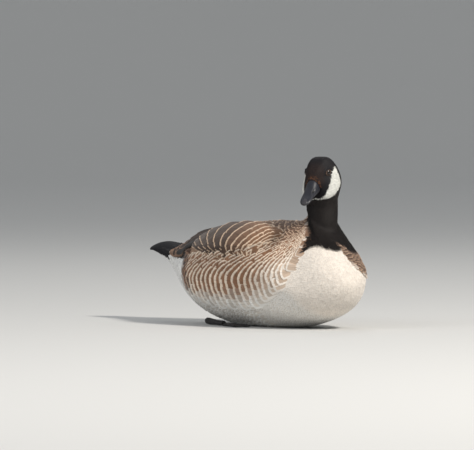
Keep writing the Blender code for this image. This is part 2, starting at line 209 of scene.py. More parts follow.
# Feet, flat on the ground: where each one's heel is, and its toes' turns and lengths
FOOT_X = -0.0660
FOOT_Y = 0.0780
TOE_ANGLES = (radians(-15), 0.0, radians(15))
TOE_LENGTHS = (0.060, 0.076, 0.066)
CLAW_LENGTH = 0.0085
CLAW_RADIUS = 0.0021
CLAW_ROOT = 0.0030
BILL_ARC_SHARE = 0.76
TIP_START = 0.0700
NAIL_FRONT = 0.0850
NAIL_LENGTH = 0.0100
NAIL_HALF_WIDTH = 0.0062
NAIL_RISE = 0.0005
NOSTRIL_FORWARD = 0.0528
NOSTRIL_DROP = 0.0092
NOSTRIL_SLANT = 0.25
NOSTRIL_SIZE = (0.0046, 0.0011)
NOSTRIL_DEPTH = 0.0032
NOSTRIL_RIM_OFFSET = 0.0024
NOSTRIL_RIM_SIZE = (0.0056, 0.0010)
NOSTRIL_RIM_RISE = 0.0006
TOOTH_SPACING = 0.0017
TOOTH_DEPTH = 0.00018
PINCH_FORWARD = 0.050
PINCH_LENGTH = 0.012
PINCH_SHARE = 0.10

# Soft lights: azimuth, elevation, distance, width, watts and colour
LIGHTS = {
    "key": (96.0, 42.0, 6.0, 0.9, 330.0, (1.0, 0.95, 0.88)),
    "fill": (5.0, 30.0, 5.0, 2.5, 40.0, (0.94, 0.96, 1.0)),
    "rim": (235.0, 50.0, 5.0, 1.5, 24.0, (1.0, 0.98, 0.94)),
}
LIGHT_AIM = Vector((0.0, 0.0, 0.12))
SKY_STRENGTH = 0.46

Feathers = namedtuple("Feathers", "place angle turn length width lift tint fringe share")


def tone(red, green, blue):
    """A colour as it looks on a screen, 0 to 255, as the linear numbers that shaders take."""
    screen = np.array((red, green, blue)) / 255.0
    return np.where(screen < 0.04045, screen / 12.92, ((screen + 0.055) / 1.055) ** 2.4)


NECK_BLACK = tone(10, 9, 10)
# Tips of the black neck feathers, in a painted sheen
NECK_SHEEN = tone(54, 46, 43)
CROWN_BLACK = tone(11, 10, 14)
CROWN_EDGE = tone(34, 29, 34)
FOREHEAD = tone(22, 17, 19)
FACE_EDGE = tone(66, 48, 42)
FACE_SPECK = tone(170, 112, 74)
CHEEK_WHITE = tone(222, 222, 216)
CREAM = tone(226, 216, 205)
CREAM_TIP = tone(240, 233, 224)
BELLY = tone(214, 208, 199)
VENT_WHITE = tone(238, 237, 234)
FLANK = tone(142, 103, 76)
FLANK_TIP = tone(232, 214, 194)
FLANK_REAR = tone(72, 54, 46)
SHOULDER = tone(208, 187, 167)
LEFT_SHOULDER = tone(92, 72, 60)
LEFT_SHOULDER_TIP = tone(170, 142, 120)
COVERT = tone(66, 48, 38)
COVERT_TIP = tone(198, 170, 143)
COVERT_FRONT = tone(134, 98, 72)
COVERT_FRONT_TIP = tone(226, 200, 174)
MANTLE = tone(104, 78, 62)
MANTLE_TIP = tone(196, 168, 144)
FLIGHT = tone(34, 28, 27)
TERTIAL = tone(56, 41, 35)
TERTIAL_TIP = tone(150, 118, 96)
TAIL_BLACK = tone(15, 14, 19)
TAIL_TIP = tone(26, 25, 31)
# Grey of the lids; the upper lid takes more of it as a painted highlight
LID_GREY = tone(104, 86, 74)
SOCKET_SHADE = tone(12, 9, 8)
# Painted shade in the eye sockets, behind the eyeballs
BILL_DARK = tone(17, 18, 25)
BILL_PALE = tone(38, 40, 50)
# Painted highlight on the bill's nail
NAIL_HIGHLIGHT = tone(70, 67, 70)
# Painted highlight along the bill's cutting edge
BILL_EDGE_HIGHLIGHT = tone(92, 88, 90)
# Painted shade inside the nostrils
NOSTRIL_SHADE = tone(6, 5, 6)
PUPIL = tone(5, 4, 4)
IRIS = tone(36, 22, 16)
FOOT_DARK = tone(20, 20, 22)
FOOT_PALE = tone(58, 55, 54)
CLAW_DARK = tone(16, 15, 16)
CLAW_PALE = tone(52, 47, 44)
FLOOR_PAPER = (0.62, 0.62, 0.61, 1.0)
SKY = (0.94, 0.97, 1.0, 1.0)


def head_ring(ring):
    """A ring of the head's own frame, pitched into the unturned body's frame."""
    ends = []
    for forward, up in (ring[0:2], ring[2:4]):
        ends.append(NECK_X + EYE_FORWARD + forward * cos(HEAD_PITCH) - up * sin(HEAD_PITCH))
        ends.append(EYE_HEIGHT + forward * sin(HEAD_PITCH) + up * cos(HEAD_PITCH))
    return (*ends, *ring[4:])


def all_rings():
    """Every ring from the tail to the forehead, in the unturned body's frame."""
    rings = list(TRUNK_RINGS)
    for behind, before in NECK_HEIGHTS:
        rings.append((NECK_X - NECK_RADIUS, behind, NECK_X + NECK_RADIUS, before,
                      NECK_RADIUS, 0.0, 0.0, 0.0))
    rings += [head_ring(ring) for ring in HEAD_RINGS]
    return np.array(rings)


RINGS = all_rings()
LAST_RING = len(RINGS) - 1
TURN_START = len(TRUNK_RINGS)
TURN_END = TURN_START + len(NECK_HEIGHTS)


def body_points(place, angle):
    """The CAD's body surface at arrays of places and angles, as in the part's solids."""
    place, angle = np.broadcast_arrays(place, angle)
    place = np.clip(place, 0.0, LAST_RING)
    index = np.clip(place.astype(int), 0, LAST_RING - 1)
    part = (place - index)[..., None]
    before, start, end, after = [
        RINGS[np.clip(index + step, 0, LAST_RING)] for step in (-1, 0, 1, 2)]
    slope_start = 0.5 * (end - before)
    slope_end = 0.5 * (after - start)
    rise = end - start
    ring = start + part * (slope_start + part * (
        3.0 * rise - 2.0 * slope_start - slope_end
        + part * (slope_start + slope_end - 2.0 * rise)))
    top_x, top_z, low_x, low_z, half_width, fullness, droop, bluntness = np.moveaxis(ring, -1, 0)
    along = np.cos(angle)
    across = np.sin(angle)
    side = half_width * across * (1.0 - fullness * along)
    side = side * np.maximum(np.abs(across), BLUNT_FLOOR) ** -bluntness
    x = 0.5 * (top_x + low_x + along * (top_x - low_x))
    z = 0.5 * (top_z + low_z + along * (top_z - low_z))
    z = z - droop * np.abs(across) ** DROOP_POWER
    turned = np.clip((place - TURN_START) / (TURN_END - TURN_START), 0.0, 1.0)
    turn = HEAD_TURN * turned
    reach = x - NECK_X
    return np.stack((
        NECK_X + reach * np.cos(turn) - side * np.sin(turn),
        reach * np.sin(turn) + side * np.cos(turn),
        np.maximum(z, 0.0)), axis=-1)


def dot(a, b):
    return np.sum(a * b, axis=-1)


def unit(a):
    return a / np.maximum(np.linalg.norm(a, axis=-1, keepdims=True), 1e-12)


def tangents(place, angle):
    """How the surface point moves for each ring of place and each radian of angle."""
    place = np.clip(place, SLOPE_STEP, LAST_RING - SLOPE_STEP)
    to_head = body_points(place + SLOPE_STEP, angle) - body_points(place - SLOPE_STEP, angle)
    around = body_points(place, angle + SLOPE_STEP) - body_points(place, angle - SLOPE_STEP)
    return to_head / (2.0 * SLOPE_STEP), around / (2.0 * SLOPE_STEP)


def body_normals(place, angle):
    to_head, around = tangents(place, angle)
    return unit(np.cross(to_head, around))


def step_along(place, angle, offset):
    """The place and angle reached by moving by offset in the surface's tangent plane."""
    to_head, around = tangents(place, angle)
    a = dot(to_head, to_head)
    b = dot(to_head, around)
    c = dot(around, around)
    spread = np.maximum(a * c - b * b, 1e-14)
    p = dot(offset, to_head)
    q = dot(offset, around)
    return place + (c * p - b * q) / spread, angle + (a * q - b * p) / spread


def ease(value, low, high):
    """0 below low, 1 above high, and smooth between."""
    share = np.clip((value - low) / (high - low), 0.0, 1.0)
    return share * share * (3.0 - 2.0 * share)


def degrees_round(angle):
    """An angle in degrees, from -180 to 180."""
    return (np.degrees(angle) + 180.0) % 360.0 - 180.0


def head_frame(points):
    """World points in the head's frame: forward, left and up from between the eyes."""
    moved = points - np.array((NECK_X, 0.0, 0.0))
    turned = moved @ np.array(Matrix.Rotation(-HEAD_TURN, 3, "Z")).T
    turned = turned - np.array((EYE_FORWARD, 0.0, EYE_HEIGHT))
    return turned @ np.array(Matrix.Rotation(HEAD_PITCH, 3, "Y")).T


def from_head_frame(points):
    level = points @ np.array(Matrix.Rotation(-HEAD_PITCH, 3, "Y")).T
    level = level + np.array((EYE_FORWARD, 0.0, EYE_HEIGHT))
    return level @ np.array(Matrix.Rotation(HEAD_TURN, 3, "Z")).T + np.array((NECK_X, 0.0, 0.0))


def wing_bounds(place):
    """Upper and lower edge of the folded wing in degrees, and its length share."""
    share = (WING_FRONT - place) / (WING_FRONT - WING_REAR)
    held = np.clip(share, 0.0, 1.15)
    upper = WING_TOP + WING_TOP_FRONT * np.clip(1.0 - held, 0, 1) ** 4 + WING_TOP_REAR * held ** 3
    lower = WING_LOW + WING_LOW_FRONT * np.clip(1.0 - held, 0, 1) ** 3 + WING_LOW_REAR * held ** 2
    return upper, lower, share


def wing_rise(place, angle):
    """How far the folded wing lifts the coat off the body."""
    upper, lower, share = wing_bounds(place)
    across = (np.abs(degrees_round(angle)) - upper) / np.maximum(lower - upper, 1.0)
    inside = ease(across, 0.0, 0.14) * ease(1.0 - across, 0.0, 0.20)
    inside = inside * ease(share, 0.0, 0.10) * ease(WING_REACH - share, 0.0, 0.30)
    bulge = np.sqrt(np.sin(pi * np.clip(across, 0.0, 1.0)))
    bulge = bulge * np.sqrt(np.sin(pi * np.clip(WING_SWELL_START + share, 0.0, 0.5)))
    return inside * (WING_EDGE + (WING_THICKNESS - WING_EDGE) * bulge)


def skin_height(place, angle):
    """Height of the skin over the CAD's body: under it, but over the wing's bones."""
    around = degrees_round(angle)
    far_cheek = CHEEK_TRIM * bump_at(place, around, *FAR_CHEEK)
    near_cheek = CHEEK_FULLER * bump_at(place, around, *NEAR_CHEEK)
    sides = near_cheek - far_cheek
    return wing_rise(place, angle) + sides - np.interp(place, COAT_PLACES, COAT_DEPTHS)


def eye_frame(points):
    """Points in the frame of the nearer eye: out along its gaze, ahead, and up.

    Also gives the head's frame, the side of the head, and the lid ring, which is 1 on the
    edge of the eye's opening and grows with the distance from it.
    """
    local = head_frame(points)
    outward = np.where(local[..., 1] < 0.0, -1.0, 1.0)
    ahead, aside = local[..., 0], np.abs(local[..., 1]) - EYE_SIDE
    level = aside * cos(GAZE_AHEAD) + ahead * sin(GAZE_AHEAD)
    along = ahead * cos(GAZE_AHEAD) - aside * sin(GAZE_AHEAD)
    rise = local[..., 2] - EYE_RAISE
    out = level * cos(GAZE_UP) + rise * sin(GAZE_UP)
    up = rise * cos(GAZE_UP) - level * sin(GAZE_UP)
    ring = np.where(out > -0.008, np.hypot(along / LID_LENGTH, up / LID_HEIGHT), 9.0)
    return local, outward, out, along, up, ring


def lid_ring(points):
    return eye_frame(points)[-1]


def lid_lift(points, height):
    """How far each point near an eye moves, to bed the eye in its lids and hollow the lore."""
    local, outward, out, along, up, ring = eye_frame(points)
    reach = np.hypot(along, up)
    ball = np.sqrt(np.maximum(EYE_RADIUS ** 2 - reach ** 2, 0.0))
    rim_reach = np.minimum(reach, 0.5 * (LID_LENGTH + LID_HEIGHT))
    rim = np.sqrt(EYE_RADIUS ** 2 - rim_reach ** 2) + LID_PROUD
    rim = rim + BROW_PROUD * ease(up, 0.0, 0.004)
    surface = out - height
    lids = (rim - surface) * (1.0 - ease(ring, LID_OUTER, LID_FADE))
    socket = ball - SOCKET_DEPTH - surface
    inside = 1.0 - ease(ring, 0.86, 1.0)
    moved = np.where(ring < LID_FADE, lids * (1.0 - inside) + socket * inside, 0.0)
    lore = bump_at(local[..., 0], local[..., 2], *LORE_SPOT)
    lore = LORE_HOLLOW * lore * ease(ring, 0.9, 1.6) * ease(np.abs(local[..., 1]), 0.006, 0.014)
    offset = np.stack((
        moved * cos(GAZE_UP) * sin(GAZE_AHEAD),
        outward * (moved * cos(GAZE_UP) * cos(GAZE_AHEAD) - lore),
        moved * sin(GAZE_UP)), axis=-1)
    return from_head_frame(local + offset) - points, ring


def bump_at(x, y, centre_x, centre_y, width_x, width_y):
    """A smooth bump, 1 at its centre."""
    return np.exp(-((x - centre_x) / width_x) ** 2 - ((y - centre_y) / width_y) ** 2)


# Borders between colours, as places for given angles round the body, in degrees
BLACK_BORDER = (
    [-180, -140, -107, -92, -85, -82, -80, -77, -73.5, -70, -60, -40, 0, 40, 72, 90, 110, 140, 162,
     172, 180],
    [15.3, 14.92, 14.18, 13.6, 13.15, 12.6, 12.3, 12.45, 12.75, 13.0, 13.25, 13.4, 13.5, 13.5, 13.4,
     13.4, 13.7, 14.5, 15.5, 15.7, 15.3])
FLANK_BORDER = ([60, 70, 76, 80, 84, 90, 96, 103, 115, 130, 150, 180],
                [13.4, 12.9, 12.5, 12.2, 11.98, 11.78, 11.62, 11.45, 10.9, 9.6, 7.8, 7.2])
SHOULDER_BORDER = ([0, 90, 104, 110, 120, 135, 150, 163, 172, 175, 178, 180],
                   [11.0, 11.4, 11.7, 12.0, 12.5, 13.0, 13.5, 14.0, 14.45, 14.8, 15.2, 16.0])
CHEEK_OUTLINE = [(23.7, 53.0), (24.1, 66.0), (24.42, 76.5), (24.48, 93.0), (24.62, 104.0),
                 (24.84, 115.5), (24.96, 129.0), (25.15, 140.0), (24.75, 155.0), (24.3, 168.0),
                 (24.1, 186.0), (23.5, 186.0), (23.4, 163.5), (21.9, 143.0), (21.6, 119.5),
                 (21.8, 100.0), (22.2, 90.0), (22.8, 81.0), (23.2, 70.0), (23.5, 59.0)]
RING_TO_DEGREES = 24.0


def outline_distance(place, side_angle, outline):
    """Signed distance in degrees to a closed outline of places and angles, positive inside."""
    x = np.asarray(place) * RING_TO_DEGREES
    y = np.asarray(side_angle)
    nearest = np.full(np.shape(x), 1e9)
    inside = np.zeros(np.shape(x), bool)
    corners = [(p * RING_TO_DEGREES, a) for p, a in outline]
    for (x0, y0), (x1, y1) in zip(corners, corners[1:] + corners[:1]):
        dx, dy = x1 - x0, y1 - y0
        share = np.clip(((x - x0) * dx + (y - y0) * dy) / (dx * dx + dy * dy), 0.0, 1.0)
        nearest = np.minimum(nearest, np.hypot(x - x0 - share * dx, y - y0 - share * dy))
        crosses = (y0 > y) != (y1 > y)
        if dy:
            inside ^= crosses & (x < x0 + (y - y0) * dx / dy)
    return np.where(inside, nearest, -nearest)


def blend(base, other, share):
    return base + (other - base) * np.asarray(share)[..., None]


def spread(colour, like):
    return np.broadcast_to(colour, (*np.shape(like), 3))


def paint(colours, share, tint, tip):
    """Both of a spot's colours, with a share of another pair laid over them."""
    return blend(colours[0], tint, share), blend(colours[1], tip, share)


def markings(place, angle):
    """Body colour, tip colour and the share of the feather that the tip colour takes."""
    around = degrees_round(angle)
    side = np.abs(around)
    colours = spread(MANTLE, place), spread(MANTLE_TIP, place)
    flank = ease(side, 46.0, 62.0)
    colours = paint(colours, flank, FLANK, FLANK_TIP)
    colours = paint(colours, ease(-place, -7.25, -6.95) * flank, FLANK_REAR, FLANK)

    edge = np.interp(side, *FLANK_BORDER)
    beige = ease(place, edge - 2.0, edge - 0.2) * ease(side, 64.0, 86.0)
    colours = paint(colours, 0.85 * beige, SHOULDER, CREAM_TIP)
    left_slope = ease(np.interp(around, *SHOULDER_BORDER) - place, -0.10, 0.10)
    breast = np.where(around > 0.0, left_slope, 1.0)
    streaked = ease(place, 11.4, 12.2) * (1.0 - breast)
    colours = paint(colours, streaked, LEFT_SHOULDER, LEFT_SHOULDER_TIP)
    colours = paint(colours, ease(place, edge - 0.22, edge + 0.10) * breast, CREAM, CREAM_TIP)
    belly = ease(side, 102.0, 122.0) * ease(-place, -11.6, -11.2)
    colours = paint(colours, belly, BELLY, VENT_WHITE)

    low = ease(side, 60.0, 66.0)
    colours = paint(colours, ease(-place, -6.72, -6.5) * low, VENT_WHITE, VENT_WHITE)
    colours = paint(colours, ease(-place, -6.9, -6.5) * (1.0 - low), TAIL_BLACK, TAIL_TIP)
    band = ease(-place, -5.6, -5.45) * ease(place, 4.65, 4.8) * ease(-side, -40.0, -32.0)
    colours = paint(colours, band, VENT_WHITE, VENT_WHITE)
    roof = ease(-place, -4.2, -4.0) * ease(-side, -TAIL_ROOF - 8.0, -TAIL_ROOF)
    roof = np.maximum(roof, ease(-place, -3.0, -2.8))
    colours = paint(colours, roof, TAIL_BLACK, TAIL_TIP)

    border = np.interp(around, *BLACK_BORDER)
    black = ease(place, border - 0.08, border + 0.08)
    # The neck's black, with its feather tips in a painted sheen
    colours = paint(colours, black, NECK_BLACK, NECK_SHEEN)
    colours = paint(colours, ease(place, 22.3, 23.3), CROWN_BLACK, CROWN_EDGE)
    brow = ease(place, 25.6, 27.2) * ease(-side, -112.0, -70.0)
    colours = paint(colours, brow, FOREHEAD, FACE_EDGE)
    cheek = ease(outline_distance(place, side, CHEEK_OUTLINE), -1.4, 1.4)
    colours = paint(colours, cheek, CHEEK_WHITE, CHEEK_WHITE)
    share = np.where(place > NECK_FOOT, 0.26, np.where(side < 74.0, 0.22, 0.30))
    return colours[0], colours[1], share


def scatter(region, spacing, seed_places=1100, seed_angles=720):
    """Places and angles about spacing apart over the part of the body where region holds."""
    places = np.linspace(0.3, LAST_RING - 0.12, seed_places)
    angles = np.linspace(-pi, pi, seed_angles, endpoint=False)
    place, angle = (a.ravel() for a in np.meshgrid(places, angles, indexing="ij"))
    to_head, around = tangents(place, angle)
    area = np.linalg.norm(np.cross(to_head, around), axis=-1)
    area = area * (places[1] - places[0]) * (angles[1] - angles[0])
    area = np.where(region(place, angle), area, 0.0)
    tries = int(7.0 * area.sum() / spacing ** 2)
    chosen = RANDOM.choice(len(area), size=tries, p=area / area.sum())
    place = place[chosen] + RANDOM.uniform(-0.5, 0.5, tries) * (places[1] - places[0])
    angle = angle[chosen] + RANDOM.uniform(-0.5, 0.5, tries) * (angles[1] - angles[0])
    points = body_points(place, angle)
    tree = kdtree.KDTree(tries)
    for k, point in enumerate(points):
        tree.insert(point, k)
    tree.balance()
    free = np.ones(tries, bool)
    kept = []
    for k, point in enumerate(points):
        if free[k]:
            kept.append(k)
            free[[near[1] for near in tree.find_range(point, spacing)]] = False
    return place[kept], angle[kept]


def vary(count, low, high):
    return RANDOM.uniform(low, high, count)


def vane_outline(along, tip_start, tip_power, root_width):
    """Half-width of a feather along its length, as a share of its full half-width."""
    near = root_width + (1.0 - root_width) * np.clip(along / tip_start, 0.0, 1.0) ** 0.7
    far = np.clip((along - tip_start) / (1.0 - tip_start), 0.0, 1.0)
    return near * (1.0 - 0.992 * far ** tip_power) ** (1.0 / tip_power)


def lay_feathers(name, feathers, grid, finish, slot, tip_start=0.55, tip_power=2.4,
                 root_width=0.35, camber=0.16, curl=1.0, rest=0.0003, patch=0.003):
    """One mesh of vanes laid over the body, each given by the spot under its tip."""
    rows, columns = grid
    count = len(feathers.place)
    along = np.linspace(0.0, 1.0, rows + 1) ** 0.72
    across = np.linspace(-1.0, 1.0, columns + 1)
    outline = vane_outline(along, tip_start, tip_power, root_width)
    vertices = np.zeros((count, rows + 1, columns + 1, 3))
    place = np.array(feathers.place, float)
    angle = np.array(feathers.angle, float)
    for row in range(rows, -1, -1):
        if row < rows:
            stride = (along[row + 1] - along[row]) * feathers.length
            backward, _ = feather_axes(place, angle, feathers.turn)
            place, angle = step_along(place, angle, -backward * stride[:, None])
            place = np.clip(place, 0.15, LAST_RING - 0.03)
        _, sideways = feather_axes(place, angle, feathers.turn)
        for column, share in enumerate(across):
            offset = 0.5 * feathers.width * outline[row] * share
            spot_place, spot_angle = step_along(place, angle, sideways * offset[:, None])
            spot_place = np.clip(spot_place, 0.05, LAST_RING - 0.02)
            drop = camber * feathers.width * outline[row] * share * share
            raised = rest + feathers.lift * along[row] ** curl
            height = np.maximum(raised - drop, 0.35 * rest)
            normal = body_normals(spot_place, spot_angle)
            base = skin_height(spot_place, spot_angle)
            spot = body_points(spot_place, spot_angle) + normal * (base + height)[:, None]
            vertices[:, row, column] = spot
    heights = rest + feathers.lift[:, None, None] * along[None, :, None] * np.ones(columns + 1)
    if place.max() > HEAD_START:
        vertices = vertices + lid_lift(vertices, heights)[0]
    vertices[..., 2] = np.maximum(vertices[..., 2], LOWEST)
    piece = vane_mesh(name, vertices)
    colour_vanes(piece.data, feathers, (rows, columns), along, outline, across)
    bake_patches(piece.data, feathers, (rows, columns), along, across, patch)
    piece.data.materials.append(finish)
    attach(piece, "root")
    return piece


def feather_axes(place, angle, turn):
    """Unit vectors in the surface: towards a feather's tip and across it."""
    to_head, around = tangents(place, angle)
    normal = unit(np.cross(to_head, around))
    ahead = unit(to_head)
    sideways = np.cross(normal, ahead)
    cosine = np.cos(turn)[:, None]
    sine = np.sin(turn)[:, None]
    backward = -ahead * cosine + sideways * sine
    return backward, np.cross(normal, backward)


def vane_corners(rows, columns):
    """Faces of one vane: its cambered upper side and its flat under side."""
    def spot(row, column):
        return row * (columns + 1) + column
    faces = []
    for row in range(rows):
        for column in range(columns):
            faces.append((spot(row, column), spot(row, column + 1),
                          spot(row + 1, column + 1), spot(row + 1, column)))
        faces.append((spot(row, 0), spot(row + 1, 0), spot(row + 1, columns), spot(row, columns)))
    return faces


def add_piece(name, mesh):
    mesh.shade_smooth()
    piece = bpy.data.objects.new(name, mesh)
    bpy.context.scene.collection.objects.link(piece)
    return piece


def build_mesh(name, builder):
    mesh = bpy.data.meshes.new(name)
    builder.to_mesh(mesh)
    builder.free()
    return mesh


def vane_mesh(name, vertices):
    """The mesh of all the vanes, from their points by vane, row and column."""
    count, row_points, column_points, _ = vertices.shape
    single = vane_corners(row_points - 1, column_points - 1)
    corners = np.array(single)
    stride = row_points * column_points
    faces = (corners[None] + np.arange(count)[:, None, None] * stride).reshape(-1, 4)
    mesh = bpy.data.meshes.new(name)
    mesh.vertices.add(count * stride)
    mesh.vertices.foreach_set("co", vertices.astype(np.float32).ravel())
    mesh.loops.add(faces.size)
    mesh.loops.foreach_set("vertex_index", faces.astype(np.int32).ravel())
    mesh.polygons.add(len(faces))
    mesh.polygons.foreach_set("loop_start", np.arange(0, faces.size, 4, dtype=np.int32))
    mesh.update(calc_edges=True)
    mesh.validate()
    piece = add_piece(name, mesh)
    mesh.set_sharp_from_angle(angle=radians(70))
    return piece


def write_points(mesh, name, values):
    """A colour for each vertex, four numbers that materials read by name."""
    layer = mesh.attributes.new(name, "FLOAT_COLOR", "POINT")
    layer.data.foreach_set("color", np.ascontiguousarray(values, dtype=np.float32).ravel())


def write_corners(mesh, name, spots):
    """A UV map from a spot for each vertex."""
    layer = mesh.uv_layers.new(name=name)
    owners = np.zeros(len(mesh.loops), np.int32)
    mesh.loops.foreach_get("vertex_index", owners)
    layer.data.foreach_set("uv", spots.reshape(-1, 2)[owners].astype(np.float32).ravel())


def colour_vanes(mesh, feathers, grid, along, outline, across):
    """Colours of the vanes, and a map of where each point lies on its own vane."""
    rows, columns = grid
    count = len(feathers.place)
    per_vane = (rows + 1) * (columns + 1)
    tint = np.concatenate((feathers.tint, feathers.share[:, None]), axis=1)
    fringe = np.concatenate((feathers.fringe, RANDOM.uniform(size=(count, 1))), axis=1)
    write_points(mesh, "tint", np.repeat(tint, per_vane, axis=0))
    write_points(mesh, "fringe", np.repeat(fringe, per_vane, axis=0))
    spots = np.zeros((rows + 1, columns + 1, 2))
    spots[..., 0] = 0.5 + 0.5 * across[None, :] * outline[:, None]
    spots[..., 1] = along[:, None]
    write_corners(mesh, "Vane", np.tile(spots[None], (count, 1, 1, 1)))


def bake_patches(mesh, feathers, grid, along, across, patch):
    """A small patch for each vane, at its spot on the unwrapped body, for baked colours."""
    rows, columns = grid
    place = feathers.place
    angle = degrees_round(feathers.angle)
    low = np.array((place.min(), angle.min()))
    high = np.array((place.max(), angle.max()))
    margin = 2.0 * patch
    roots = (np.stack((place, angle), axis=1) - low) / np.maximum(high - low, 1e-6)
    roots = margin + roots * (1.0 - 2.0 * margin)
    spots = np.zeros((rows + 1, columns + 1, 2))
    spots[..., 0] = 0.5 * patch * across[None, :]
    spots[..., 1] = patch * (along[:, None] - 0.5)
    write_corners(mesh, "OFBake", roots[:, None, None, :] + spots[None])


class Wire:
    """A socket in a material's node tree; sums on it add the nodes that work them out."""

    def __init__(self, tree, socket=None):
        self.tree = tree
        self.socket = socket

    def node(self, kind, settings, inputs, output=0):
        made = self.tree.nodes.new(kind)
        for name, value in settings.items():
            setattr(made, name, value)
        for name, value in inputs.items():
            if isinstance(value, Wire):
                self.tree.links.new(value.socket, made.inputs[name])
            else:
                made.inputs[name].default_value = value
        return Wire(self.tree, made.outputs[output])

    def sum(self, operation, first, second=0.0):
        return self.node("ShaderNodeMath", {"operation": operation}, {0: first, 1: second})

    def __add__(self, other):
        return self.sum("ADD", self, other)

    __radd__ = __add__

    def __sub__(self, other):
        return self.sum("SUBTRACT", self, other)

    def __rsub__(self, other):
        return self.sum("SUBTRACT", other, self)

    def __mul__(self, other):
        return self.sum("MULTIPLY", self, other)

    __rmul__ = __mul__

    def __truediv__(self, other):
        return self.sum("DIVIDE", self, other)

    def __pow__(self, other):
        return self.sum("POWER", self, other)

    def size(self):
        return self.sum("ABSOLUTE", self)

    def least(self, other):
        return self.sum("MINIMUM", self, other)

    def mark(self, name, output="Fac"):
        """An attribute of the mesh."""
        return self.node("ShaderNodeAttribute", {"attribute_name": name}, {}, output)

    def place(self):
        return self.node("ShaderNodeTexCoord", {}, {}, "Object")

    def grey(self):
        return self.node("ShaderNodeCombineXYZ", {}, {0: self, 1: self, 2: self})

    def between(self, low, high):
        """The colour low where this number is 0, and high where it is 1."""
        return self.node("ShaderNodeMix", {"data_type": "RGBA"},
                         {0: self, 6: (*low, 1.0), 7: (*high, 1.0)}, 2)

    def most(self, other):
        return self.sum("MAXIMUM", self, other)

    def wave(self):
        return self.sum("SINE", self)

    def eased(self, low, high):
        return self.node("ShaderNodeMapRange", {"interpolation_type": "SMOOTHSTEP"},
                         {"Value": self, "From Min": low, "From Max": high})

    def split(self):
        return [self.node("ShaderNodeSeparateXYZ", {}, {"Vector": self}, axis)
                for axis in range(3)]

    def mix(self, share, other):
        """This colour with a share of the other mixed in."""
        return self.node("ShaderNodeMix", {"data_type": "RGBA"},
                         {0: share, 6: self, 7: other}, 2)

    def brightened(self, factor):
        return self.node("ShaderNodeMix", {"data_type": "RGBA", "blend_type": "MULTIPLY"},
                         {0: 1.0, 6: self, 7: factor}, 2)

    def noise(self, scale, detail=2.0, roughness=0.5):
        """Smooth noise over this vector, as a number from 0 to 1."""
        return self.node("ShaderNodeTexNoise", {},
                         {"Vector": self, "Scale": scale, "Detail": detail,
                          "Roughness": roughness})


def new_finish(name, roughness, **constants):
    """A material, a wire to start from, and its shader with the constant values set."""
    material = bpy.data.materials.new(name)
    material.use_nodes = True
    shader = material.node_tree.nodes["Principled BSDF"]
    shader.inputs["Roughness"].default_value = roughness
    for socket, value in constants.items():
        shader.inputs[socket.replace("_", " ")].default_value = value
    return material, Wire(material.node_tree), shader


def feed(wire, shader, socket):
    wire.tree.links.new(wire.socket, shader.inputs[socket])


def raise_bumps(height, shader, strength, distance):
    bump = height.node("ShaderNodeBump", {}, {"Height": height, "Strength": strength,
                                               "Distance": distance})
    feed(bump, shader, "Normal")


def plumage_finish(name, roughness, tip_start, tip_power, streak=0.25, softness=0.18,
                   shaft=0.0, sheen=0.15, gloss=0.3):
    """Vanes in their own tint with a paler tip, barbs running off the shaft, and wear."""
    material, start, shader = new_finish(name, roughness, Sheen_Weight=sheen,
                                         Specular_IOR_Level=gloss)
    tint = start.mark("tint", "Color")
    share = start.mark("tint", "Alpha")
    fringe = start.mark("fringe", "Color")
    luck = start.mark("fringe", "Alpha")
    vane = start.node("ShaderNodeUVMap", {"uv_map": "Vane"}, {})
    place = start.place()
    across, along, _ = vane.split()
    off = (across * 2.0 - 1.0).size()
    ahead = ((along - tip_start) / (1.0 - tip_start)).most(0.0)
    ring = (ahead ** tip_power + off ** tip_power) ** (1.0 / tip_power)
    ragged = place.noise(420.0, 2.0)
    ring = ring + (ragged - 0.5) * 0.16
    edge = (ring - (1.0 - share)) / softness
    edge = edge.eased(-0.5, 0.5)
    barbs = (along * 90.0 - off * 55.0 + luck * 40.0).wave() * 0.5 + 0.5
    lit = 1.0 - streak * 0.5 + streak * place.noise(260.0, 3.0)
    lit = lit * (1.0 - streak * 0.35 + streak * 0.35 * barbs)
    lit = lit * (0.92 + 0.16 * luck)
    line = 1.0 - shaft * (1.0 - off.eased(0.02, 0.07))
    feed(tint.mix(edge, fringe).brightened((lit * line).grey()), shader, "Base Color")
    raise_bumps(barbs + place.noise(700.0, 2.0) * 1.5, shader, 0.25, 0.0003)
    return material


def skin_finish():
    material, start, shader = new_finish("feathered_skin", 0.85, Specular_IOR_Level=0.2)
    tint = start.mark("tint", "Color")
    place = start.place()
    lit = 0.86 + 0.28 * place.noise(380.0, 3.0)
    feed(tint.brightened(lit.grey()), shader, "Base Color")
    raise_bumps(place.noise(900.0, 3.0), shader, 0.5, 0.0006)
    return material


def bill_finish(name):
    """Blue-black horn: satin on the ridge, finely grained and rougher at the nail, with painted
    highlights on the nail and along the cutting edge, and painted shade in the nostrils.
    """
    material, start, shader = new_finish(name, 0.42, Specular_IOR_Level=0.45)
    place = start.place()
    # This mask is the nail's patch, which is rougher and painted paler grey as a painted highlight
    nail = start.mark("wear")
    hollow = start.mark("hollow")
    edge = start.mark("edge")
    grain = place.noise(500.0, 4.0, 0.6)
    patch = place.noise(95.0, 3.0)
    dark = patch.between(BILL_DARK, BILL_PALE)
    # Painted highlight: the nail is painted a paler grey
    nail_highlit = dark.mix(nail * (0.2 + 0.5 * grain).least(1.0), (*NAIL_HIGHLIGHT, 1.0))
    # Painted highlight: a paler line along the cutting edge
    pale = nail_highlit.mix(edge * (0.2 + 0.4 * grain).least(1.0), (*BILL_EDGE_HIGHLIGHT, 1.0))
    # Painted shade: the nostrils' hollows are painted near black
    feed(pale.mix(hollow.eased(0.35, 0.75), (*NOSTRIL_SHADE, 1.0)), shader, "Base Color")
    feed(0.30 + 0.22 * grain + 0.10 * nail, shader, "Roughness")
    raise_bumps(grain + 0.6 * place.noise(1500.0, 2.0), shader, 0.22, 0.0004)
    return material


